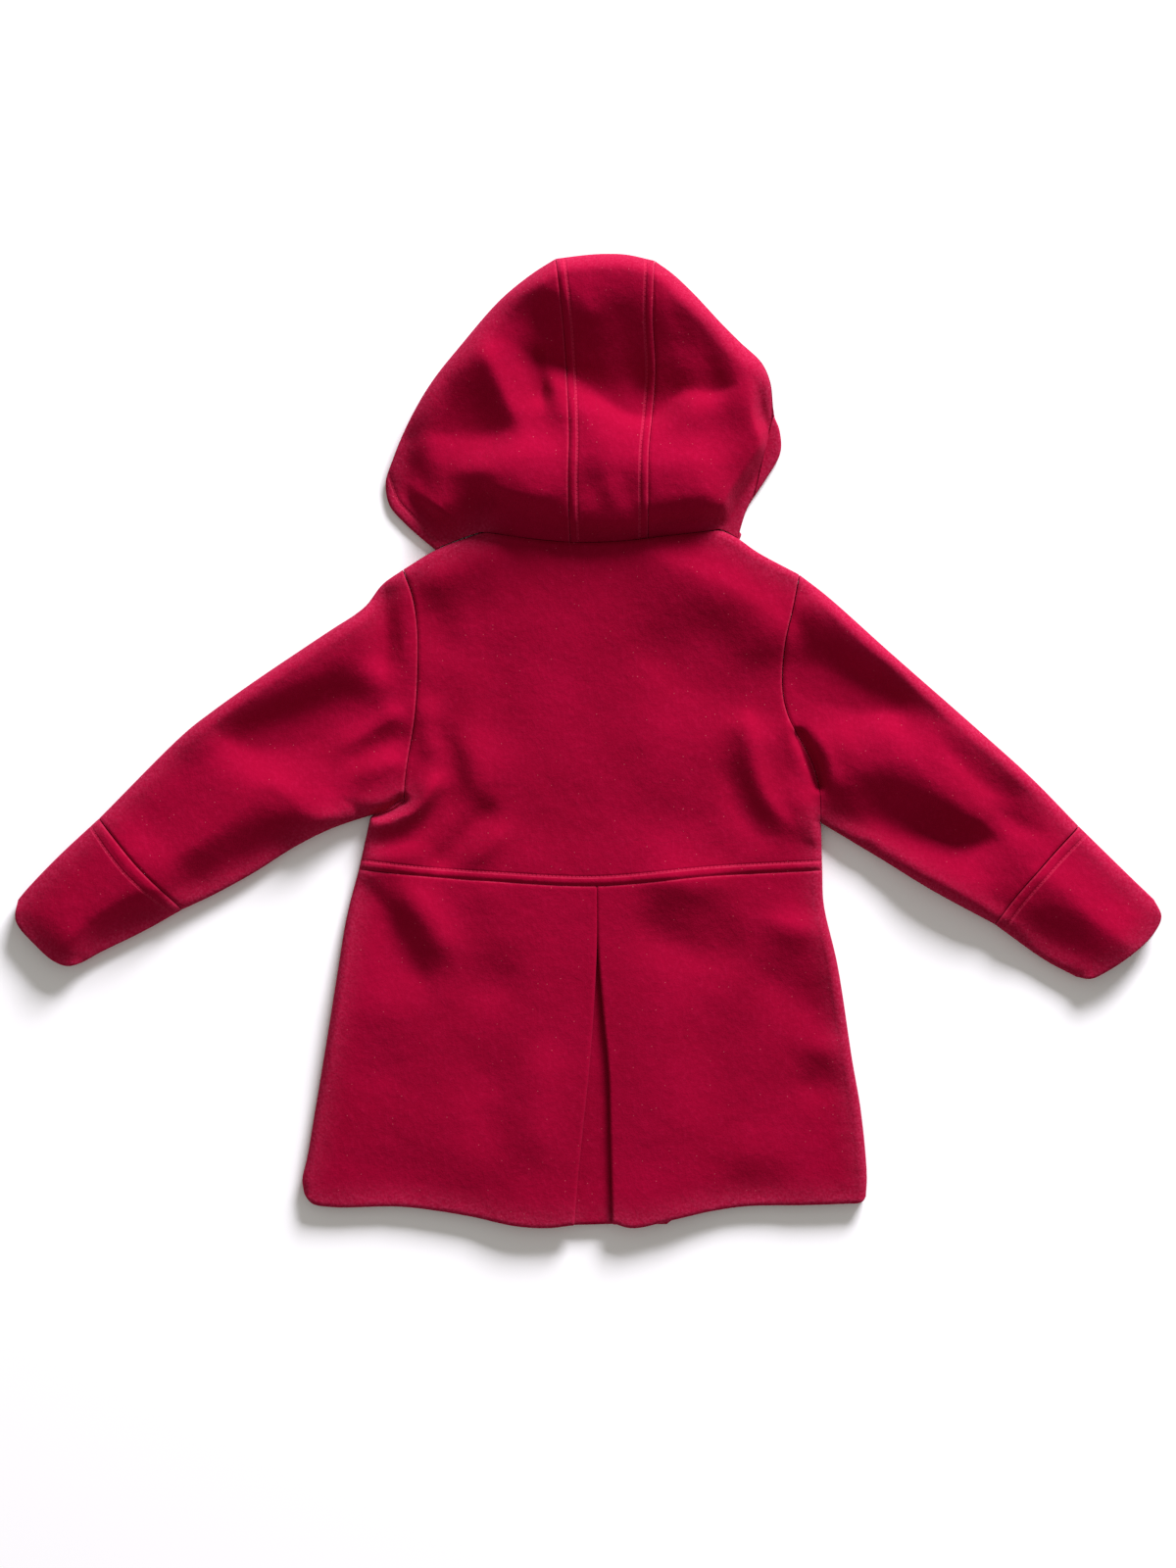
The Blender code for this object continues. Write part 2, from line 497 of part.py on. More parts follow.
def front(side, colour):
    """One front, shoulder to hem, flat on the floor, with its edge past the centre."""
    sign = -1 if side == "left" else 1
    hem = P(HEM_LEFT, [(-10.8, -355.3), (18.7, -353.9)], HEM_RIGHT)
    shoulder = SHOULDER_LEFT if side == "left" else SHOULDER_RIGHT[::-1]
    arm = ARMHOLE_LEFT if side == "left" else ARMHOLE_RIGHT
    bodice = BODICE_SIDE_LEFT if side == "left" else BODICE_SIDE_RIGHT
    skirt = SKIRT_LEFT if side == "left" else SKIRT_RIGHT
    x_edge = PLEAT_X - sign * OVERLAP
    neck = [p for p in (NECK if side == "left" else NECK[::-1])]
    neck = [p for p in neck if sign * p[0] > sign * x_edge + 4]
    y_neck = float(np.interp(x_edge, [p[0] for p in NECK], [p[1] for p in NECK]))
    neck = neck + [(x_edge, y_neck)]
    line = hem.line
    share = hem.at[np.argmin(abs(line[:, 0] - x_edge))]
    span = np.linspace(0, share, 40) if side == "left" else np.linspace(1, share, 40)
    low = Path(hem(span) + np.array([0.0, 3.0 * 0]), smooth=False)
    top = P(shoulder, neck)
    outer, at_outer = arm_rows(side, (skirt[::-1],))
    inner = Path([tuple(low(1.0)), (x_edge, y_neck)], smooth=False)
    n_sh = top.share_at(shoulder[-1])
    u = np.array([0.0, GUARD / 220, .006, .022, .1, .2, n_sh, RISE_AT[0], RISE_AT[1], .72, .86, 1.0])
    at_outer = np.concatenate([[0, .12, .24, .36, .46], at_outer])
    plan = coons(low, top, outer, inner, u, at_outer, at_outer)
    zl = coat_low(plan)
    edge_z, _ = edge_of(plan)
    zl[0, :8] = edge_z[0, :8] - EDGE_GAP
    zl[1, :8] = edge_z[1, :8] - EDGE_GAP - 0.8
    zl[u <= n_sh, -1] = edge_z[u <= n_sh, -1] - EDGE_GAP
    zl[u <= n_sh, -2] = edge_z[u <= n_sh, -2] - EDGE_GAP - 0.8
    plan[:2, 7:, 0] -= sign * (SEAM + 0.05)
    if side == "left":
        plan[:2, 5:7] += (0.3, -0.5)
    plan[u > n_sh, -2:, 1] -= 0.7
    if side == "left":
        zl = zl + LAYER * step(RISE_AT[0], RISE_AT[1], u)[:, None]
    grid = up(plan, zl)
    return sheet("front_" + side, grid[:, ::-1] if side == "left" else grid, colour)


def hood_side(side, colour):
    left = side == "left"
    seam = P(HOOD_SEAM_LEFT if left else HOOD_SEAM_RIGHT)
    out = P(HOOD_OUT_LEFT if left else HOOD_OUT_RIGHT)
    neck = P(HOOD_NECK_LEFT if left else HOOD_NECK_RIGHT)
    tip = Path([tuple(seam(1.0)), tuple(out(1.0))], smooth=False)
    sign = -1 if left else 1
    q = np.array([0.0, .16, .32, .48, .62, .74, .83, .90, .95, .985, 1.0])
    v = np.array([0.0, .06, .1, .17, .25, .33, .41, .5, .59, .68, .77, .86, .93, .975])
    plan = coons(neck, tip, seam, out, q, v)
    plan[0, :, 0] += sign * SEAM
    over = up(plan, hood_top(plan))
    e, _ = hood_edge(plan[-1])
    over[-1, :, 2] = e
    # the part turned under, from the outline back to the edge of the face opening
    m = 6
    under = np.zeros((m, len(v), 3))
    for j, t in enumerate(v):
        row = plan[:, j]
        lengths = np.concatenate([[0], np.cumsum(np.linalg.norm(np.diff(row, axis=0), axis=1))])
        width = lengths[-1]
        y = row[-1, 1]
        chin = np.interp(t, CHIN_AT, CHIN_REACH)
        rise = step(205 if left else 235, FACE_TOP - 7, y)
        reach = max(HEM_TURN, chin * (width - 3.0), HEM_TURN + (width - HEM_TURN - 6) * rise ** 1.4)
        reach = width if row[0, 1] > FACE_TOP else min(reach, width)
        first = [0.5, 2.4]
        at = first + list(np.linspace(max(6.0, 0.35 * reach), reach, m - len(first)))
        at = [min(a, reach - 0.05 * (m - i)) for i, a in enumerate(at)]
        for i, a in enumerate(at):
            s = width - a
            x = np.interp(s, lengths, row[:, 0])
            yy = np.interp(s, lengths, row[:, 1])
            under[i, j] = (x, yy, float(hood_low(np.array([x, yy]))))
    under[1:, 0, 1] += 1.3
    grid = np.concatenate([over, under], 0)
    return sheet("hood_" + side, grid[:, ::-1] if left else grid, colour)


def hood_centre(colour):
    sl, sr = P(HOOD_SEAM_LEFT), P(HOOD_SEAM_RIGHT)
    neck = P([(-13.0, 146.0), (23.0, 146.9), (44.3, 149.0)])
    top = P(HOOD_TOP)
    u = np.linspace(0, 1, 6)
    v = np.array([0.0, .08, .17, .26, .35, .44, .53, .62, .71, .8, .88, .94, .98, .994, 1.0])
    plan = coons(neck, top, sl, sr, u, v)
    plan[0, :, 0] += SEAM
    plan[-1, :, 0] -= SEAM
    z = hood_top(plan)
    z[:, -1] = HOOD_EDGE
    over = up(plan, z)
    back = np.array([.996, .98, .95, .88, .80, .71])
    plan2 = coons(neck, top, sl, sr, u, back)
    plan2[0, :, 0] += SEAM
    plan2[-1, :, 0] -= SEAM
    under = up(plan2, hood_low(plan2))
    grid = np.concatenate([over, under], 1)
    return sheet("hood_centre", grid, colour)


# --------------------------------------------------------------------------- build
clear_scene()
bpy.context.scene.collection.children.link(ROOT)

CRIMSON = (0.30, 0.006, 0.028)
back_bodice(CRIMSON)
back_skirt((0.31, 0.006, 0.029))
front("left", (0.28, 0.006, 0.026))
front("right", (0.29, 0.006, 0.027))
tube(P(SLEEVE_LEFT_LOW), P(SLEEVE_LEFT_UP), P(ARMHOLE_LEFT_UPPER), P(CUFF_LEFT_SEAM), SLEEVE_LINES, SLEEVE_ROLL, 11,
     "sleeve_left", (0.31, 0.006, 0.03))
tube(P(SLEEVE_RIGHT_LOW), P(SLEEVE_RIGHT_UP), P(ARMHOLE_RIGHT), P(CUFF_RIGHT_SEAM), SLEEVE_LINES, SLEEVE_ROLL, 11,
     "sleeve_right", (0.31, 0.006, 0.03))
tube(P(CUFF_LEFT_LOW), P(CUFF_LEFT_UP), P(CUFF_LEFT_SEAM), P(CUFF_LEFT_END), SLEEVE_LINES, SLEEVE_ROLL, 4,
     "cuff_left", (0.32, 0.006, 0.03))
tube(P(CUFF_RIGHT_LOW), P(CUFF_RIGHT_UP), P(CUFF_RIGHT_SEAM), P(CUFF_RIGHT_END), SLEEVE_LINES, SLEEVE_ROLL, 4,
     "cuff_right", (0.32, 0.006, 0.03))
hood_centre((0.30, 0.006, 0.028))
hood_side("left", (0.31, 0.006, 0.029))
hood_side("right", (0.31, 0.006, 0.029))
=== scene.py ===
"""A child's hooded wool coat, lying on its front with the sleeves spread: the visual model.

Each piece of cloth is a thin shell on the form of its solid. The coat's top is one field of
heights in plan and the hood's top is another; the creases are rows of the tables below.
+X is to the right as seen from above, +Y is towards the hood, +Z is up.
The tables are in millimetres; the scene is in metres.
"""
import math
import bpy
import bmesh
import numpy as np
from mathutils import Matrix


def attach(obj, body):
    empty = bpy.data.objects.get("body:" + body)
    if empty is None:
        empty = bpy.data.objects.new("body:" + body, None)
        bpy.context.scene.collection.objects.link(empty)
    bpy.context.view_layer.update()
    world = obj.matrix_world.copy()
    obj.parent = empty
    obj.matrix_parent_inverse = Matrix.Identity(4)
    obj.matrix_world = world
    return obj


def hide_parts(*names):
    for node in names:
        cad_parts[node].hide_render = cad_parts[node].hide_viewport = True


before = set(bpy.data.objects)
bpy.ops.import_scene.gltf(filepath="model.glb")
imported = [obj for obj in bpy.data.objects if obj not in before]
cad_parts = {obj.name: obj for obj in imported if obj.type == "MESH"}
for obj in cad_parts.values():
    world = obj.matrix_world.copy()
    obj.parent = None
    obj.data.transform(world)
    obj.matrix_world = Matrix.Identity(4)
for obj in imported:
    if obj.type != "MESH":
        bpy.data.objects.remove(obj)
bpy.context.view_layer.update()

# ------------------------------------------------------------------ sizes (mm)
MM = 0.001
WALL = 2.0            # thickness of the wool cloth
SEAM = 0.2            # each edge at a seam stands back by this much
LAYER = 2.6           # pitch of two cloth layers that lie on each other
SHIFT_X = -0.11       # moves the box's centre to the origin
SHIFT_Y = 0.03
BODY_H = 9.8          # top of the back panel over the floor
BODY_EDGE = 4.6       # height of the side seams
EDGE_GAP = 0.6       # half the gap between back and front at the side seam
BODY_ROLL = 6.5       # radius in plan of the rolled sides
PLEAT_H = 12.4        # top of the back over the pleat's three layers
PLEAT_X = 6.5         # centre line of the pleat
PLEAT_FOLD = 1.3      # middle radius of a folded edge
PLEAT_IN_TOP = 24.0   # depth of the pleat at the waist
PLEAT_IN_HEM = 44.0   # depth of the pleat at the hem
SLEEVE_H = 15.0
SLEEVE_EDGE = 7.0
SLEEVE_ROLL = 11.0
SLEEVE_LINES = 7      # stretches across the top of a sleeve between its rolled edges
GUARD = 0.05          # a hair inside a rolled edge, where the wall stands upright
OVERLAP = 32.0        # each front passes the centre line by this much
RISE_AT = (0.46, 0.57)    # share of the left front's width where it climbs onto the right front
HOOD_EDGE = 7.5       # height of the hood's rolled outline at the crown
HOOD_RIM = 2.3        # height of the hemmed rim, two layers on the floor
HOOD_ROLL = 15.0
HEM_TURN = 9.0        # width of the turned hem round the face opening
FACE_TOP = 292.0      # forehead edge of the face opening
CHIN_AT = (0.0, 0.06, 0.10, 0.17, 0.25)        # share of the way up the hood ...
CHIN_REACH = (1.0, 0.66, 0.42, 0.18, 0.0)      # ... and how far the underside reaches in there

# ------------------------------------------------------- outlines, as seen from above
# Each table names its own columns: x, y.
WAIST = [(-168.5, -94.7), (-121.7, -99.7), (-72.7, -103.3), (6.5, -106.9), (90.7, -99.7), (172.4, -95.4)]
SKIRT_LEFT = [(-168.5, -94.7), (-177.1, -127.8), (-185.8, -180.4), (-193.0, -225.7), (-200.9, -273.2),
              (-206.6, -307.1), (-210.2, -322.9), (-208.8, -333.0)]
SKIRT_RIGHT = [(172.4, -95.4), (173.5, -120.6), (183.6, -165.2), (194.4, -235.1), (200.9, -273.2),
               (205.2, -320.0), (204.5, -335.2)]
HEM_LEFT = [(-208.8, -333.0), (-202.3, -339.8), (-185.8, -342.4), (-136.8, -342.0), (-87.8, -348.8),
            (-54.0, -356.0), (-29.5, -357.5), (-10.8, -355.3)]
HEM_RIGHT = [(18.7, -353.9), (32.4, -357.5), (61.2, -351.7), (90.7, -345.2), (117.4, -341.6), (154.8, -340.9),
             (188.6, -339.8), (200.9, -338.8), (204.5, -335.2)]
FLAP_LEFT = [(6.2, -106.9), (5.8, -150.8), (1.4, -225.7), (-4.3, -282.6), (-8.6, -325.8), (-10.8, -355.3)]
FLAP_RIGHT = [(6.8, -106.9), (7.9, -150.8), (11.5, -197.6), (15.8, -244.4), (17.3, -301.3), (18.7, -353.9)]
BODICE_SIDE_LEFT = [(-168.5, -94.7), (-159.8, -55.1)]
BODICE_SIDE_RIGHT = [(172.4, -95.4), (171.4, -60.8)]
ARMHOLE_LEFT = [(-159.8, -55.1), (-145.4, -51.5), (-135.4, -44.3), (-134.2, -28.4), (-131.8, -11.2),
                (-127.4, 15.5), (-125.3, 46.4), (-125.3, 81.7), (-128.9, 105.5), (-136.1, 125.6)]
ARMHOLE_RIGHT = [(171.4, -60.8), (169.9, -33.5), (165.6, -17.6), (157.0, -0.4), (147.6, 17.6), (143.3, 37.1),
                 (144.7, 70.2), (150.5, 96.8), (155.5, 122.0)]
SHOULDER_LEFT = [(-136.1, 125.6), (-112.3, 140.0), (-77.8, 153.4)]
NECK = [(-77.8, 153.4), (-45.4, 148.7), (-8.6, 145.6), (23.0, 146.5), (51.8, 149.6), (84.2, 153.4), (97.9, 154.8)]
SHOULDER_RIGHT = [(97.9, 154.8), (110.2, 148.7), (124.6, 138.6), (155.5, 122.0)]

SLEEVE_LEFT_LOW = [(-135.4, -44.3), (-145.4, -51.5), (-159.8, -55.1), (-189.4, -65.2), (-215.3, -78.1), (-246.2, -97.6), (-276.5, -114.1),
                   (-298.1, -124.2)]
SLEEVE_LEFT_UP = [(-136.1, 125.6), (-151.2, 114.8), (-162.7, 99.7), (-171.4, 92.5), (-187.2, 82.4),
                  (-215.3, 63.7), (-246.2, 42.8), (-276.5, 21.2), (-296.6, 5.4), (-359.3, -57.2)]
CUFF_LEFT_SEAM = [(-298.1, -124.2), (-310.3, -112.0), (-331.2, -91.1), (-359.3, -57.2)]
CUFF_LEFT_LOW = [(-298.1, -124.2), (-326.2, -140.0), (-360.0, -156.6), (-370.1, -162.4)]
CUFF_LEFT_UP = [(-359.3, -57.2), (-388.8, -84.6), (-411.8, -108.4), (-419.0, -117.0)]
CUFF_LEFT_END = [(-370.1, -162.4), (-381.6, -166.0), (-392.4, -162.4), (-405.4, -151.3), (-420.5, -132.8),
                 (-419.0, -117.0)]
ARMHOLE_LEFT_UPPER = ARMHOLE_LEFT[2:]
SLEEVE_RIGHT_LOW = [(171.4, -60.8), (212.4, -85.3), (253.4, -110.5), (298.8, -135.0)]
SLEEVE_RIGHT_UP = [(155.5, 122.0), (175.0, 106.9), (222.5, 64.4), (282.2, 11.9), (326.2, -27.7), (360.7, -63.0)]
CUFF_RIGHT_SEAM = [(298.8, -135.0), (315.4, -112.7), (336.2, -88.9), (360.7, -63.0)]
CUFF_RIGHT_LOW = [(298.8, -135.0), (336.2, -161.6), (359.3, -173.9)]
CUFF_RIGHT_UP = [(360.7, -63.0), (398.2, -99.7), (416.2, -117.0)]
CUFF_RIGHT_END = [(359.3, -173.9), (369.4, -175.3), (381.6, -169.6), (399.6, -157.3), (414.0, -144.4),
                  (421.5, -130.0), (416.2, -117.0)]

HOOD_NECK_LEFT = [(-13.0, 146.0), (-45.4, 148.9), (-77.8, 153.6), (-112.3, 140.6)]
HOOD_NECK_RIGHT = [(44.3, 149.0), (84.2, 153.6), (97.9, 155.2), (110.2, 149.4)]
HOOD_OUT_LEFT = [(-112.3, 140.6), (-121.7, 148.0), (-137.5, 162.4), (-146.2, 173.2), (-149.0, 189.7),
                 (-144.0, 205.6), (-131.8, 234.4), (-115.2, 263.2), (-93.6, 290.5), (-64.8, 323.6),
                 (-41.8, 342.4), (-23.8, 353.9)]
HOOD_OUT_RIGHT = [(110.2, 149.4), (117.4, 171.7), (130.3, 191.2), (141.8, 212.0), (141.1, 228.6),
                  (136.8, 240.1), (133.9, 263.2), (127.4, 277.6), (112.3, 292.0), (97.9, 306.4), (77.8, 328.0),
                  (62.6, 342.4), (49.0, 352.4)]
HOOD_SEAM_LEFT = [(-13.0, 146.0), (-14.4, 189.0), (-13.7, 220.0), (-15.1, 262.4), (-18.7, 310.7), (-23.8, 353.9)]
HOOD_SEAM_RIGHT = [(44.3, 149.0), (44.6, 209.9), (47.5, 240.1), (49.7, 270.4), (47.5, 310.7), (49.0, 352.4)]
HOOD_TOP = [(-23.8, 353.9), (0.0, 356.8), (14.4, 357.5), (28.8, 356.8), (49.0, 352.4)]

# ------------------------------------------------------------- folds of the coat's top
# x0, y0 -> x1, y1: the line of a ridge (rise > 0) or a trough (rise < 0), mm; half_width across it
COAT_FOLDS = [
    # x0,     y0,     x1,     y1,   rise, half_width
    (-168.0,  78.0, -300.0, -14.0,   6.0, 20.0),    # left sleeve, ridge along its upper edge
    (-146.0,  30.0, -282.0,   4.0,  -5.5, 20.0),    # left sleeve, trough under it
    (-190.0, -40.0, -300.0, -70.0,   6.0, 24.0),    # left sleeve, ridge along the arm
    ( 182.0,  84.0,  300.0, -20.0,   4.0, 18.0),    # right sleeve, ridge along its upper edge
    ( 150.0,  52.0,  232.0,  28.0,  -5.0, 18.0),    # right sleeve, trough below the cap
    ( 190.0,   2.0,  290.0, -55.0,   7.0, 20.0),    # right sleeve, ridge along the arm
    ( 200.0, -48.0,  300.0, -90.0,  -3.5, 14.0),    # right sleeve, trough by the lower edge
    (-128.0, -40.0, -150.0, -62.0,  -3.0,  9.0),    # left underarm
    ( 158.0, -10.0,  170.0, -40.0,  -2.5,  8.0),    # right underarm
    ( 118.0,  30.0,  134.0,  -6.0,   2.5, 12.0),    # right armhole, fold down the bodice
    ( -90.0, -60.0, -106.0, -90.0,   2.0, 14.0),    # left side above the waist
]
HOOD_FOLDS = [
    ( -90.0, 200.0,  110.0, 196.0,  20.0, 30.0),    # ridge above the neck
    ( -60.0, 325.0,   80.0, 325.0,  16.0, 34.0),    # ridge inside the crown
    ( -60.0, 255.0,   80.0, 262.0,  -4.0, 26.0),    # hollow between them
    (-118.0, 225.0,  -70.0, 300.0,   6.0, 18.0),    # left side
    ( 112.0, 225.0,   95.0, 290.0,   7.0, 20.0),    # right side
]
HOOD_H = 20.0

# ------------------------------------------------------------- seams and rows of topstitching
# offsets from the seam to the row of stitches, mm
WAIST_STITCH = [(-168.0, -88.0), (-121.7, -93.3), (-72.7, -96.8), (6.5, -100.2), (90.7, -92.9), (172.0, -88.6)]
WAIST_WELT = [(-168.2, -91.2), (-121.7, -96.4), (-72.7, -99.9), (6.5, -103.4), (90.7, -96.2), (172.2, -91.8)]
CUFF_LEFT_STITCH = [(-303.6, -129.1), (-326.5, -109.4), (-341.7, -94.7), (-353.2, -80.3), (-365.0, -63.5)]
CUFF_RIGHT_STITCH = [(305.0, -139.5), (320.6, -117.8), (341.4, -94.0), (366.5, -68.6)]
CUFF_LEFT_WELT = [(-301.0, -126.6), (-318.4, -110.8), (-336.6, -92.8), (-362.0, -60.2)]
CUFF_RIGHT_WELT = [(301.8, -137.2), (318.0, -115.2), (338.8, -91.4), (363.6, -65.8)]
HOOD_STITCH_LEFT = [(-6.9, 147.0), (-8.2, 189.0), (-7.6, 220.0), (-9.0, 262.4), (-12.4, 310.7), (-17.4, 353.5)]
HOOD_STITCH_RIGHT = [(38.2, 149.0), (38.4, 209.9), (41.3, 240.1), (43.4, 270.4), (41.3, 310.7), (42.4, 353.2)]
HOOD_WELT_LEFT = [(-10.0, 147.0), (-11.4, 189.0), (-10.7, 220.0), (-12.1, 262.4), (-15.6, 310.7), (-20.6, 353.5)]
HOOD_WELT_RIGHT = [(41.3, 149.0), (41.5, 209.9), (44.4, 240.1), (46.6, 270.4), (44.4, 310.7), (45.7, 353.2)]
HOOD_HEM_LEFT = [(-146.6, 196.0), (-143.4, 186.0), (-139.6, 176.6), (-131.6, 167.6), (-117.6, 153.6), (-110.4, 147.4)]
RIM_RIGHT = [(138.4, 246.0), (136.0, 238.0), (133.6, 228.0), (130.2, 214.0), (127.0, 201.0), (123.8, 186.0), (119.6, 170.0),
             (113.0, 153.0)]

# the deep gaps where sleeve and side meet under the arms
UNDERARM_LEFT = [(-137.0, -44.6), (-145.6, -51.0), (-155.0, -54.6)]
UNDERARM_RIGHT = [(155.0, 4.0), (161.0, -8.0), (166.6, -21.0), (170.0, -33.0)]

# x, y of the line; depth of the ditch; half width
SEAM_LINES = [
    (WAIST, -0.8, 1.4),
    (ARMHOLE_LEFT[2:], -1.0, 1.4),
    (ARMHOLE_RIGHT[1:], -1.0, 1.4),
    (UNDERARM_LEFT, -8.0, 3.4),
    (UNDERARM_RIGHT, -8.0, 3.4),
    (CUFF_LEFT_SEAM, -0.9, 1.4),
    (CUFF_RIGHT_SEAM, -0.9, 1.4),
    (WAIST_STITCH, -0.35, 1.0),
    (CUFF_LEFT_STITCH, -0.4, 0.9),
    (CUFF_RIGHT_STITCH, -0.4, 0.9),
    (WAIST_WELT, 0.75, 2.6),
    (CUFF_LEFT_WELT, 0.5, 2.4),
    (CUFF_RIGHT_WELT, 0.5, 2.4),
]
HOOD_SEAM_LINES = [
    (HOOD_SEAM_LEFT, -0.7, 1.3),
    (HOOD_SEAM_RIGHT, -0.7, 1.3),
    (HOOD_STITCH_LEFT, -0.45, 0.9),
    (HOOD_STITCH_RIGHT, -0.45, 0.9),
    (HOOD_WELT_LEFT, 0.7, 2.3),
    (HOOD_WELT_RIGHT, 0.7, 2.3),
    (HOOD_HEM_LEFT, -0.9, 1.1),
]
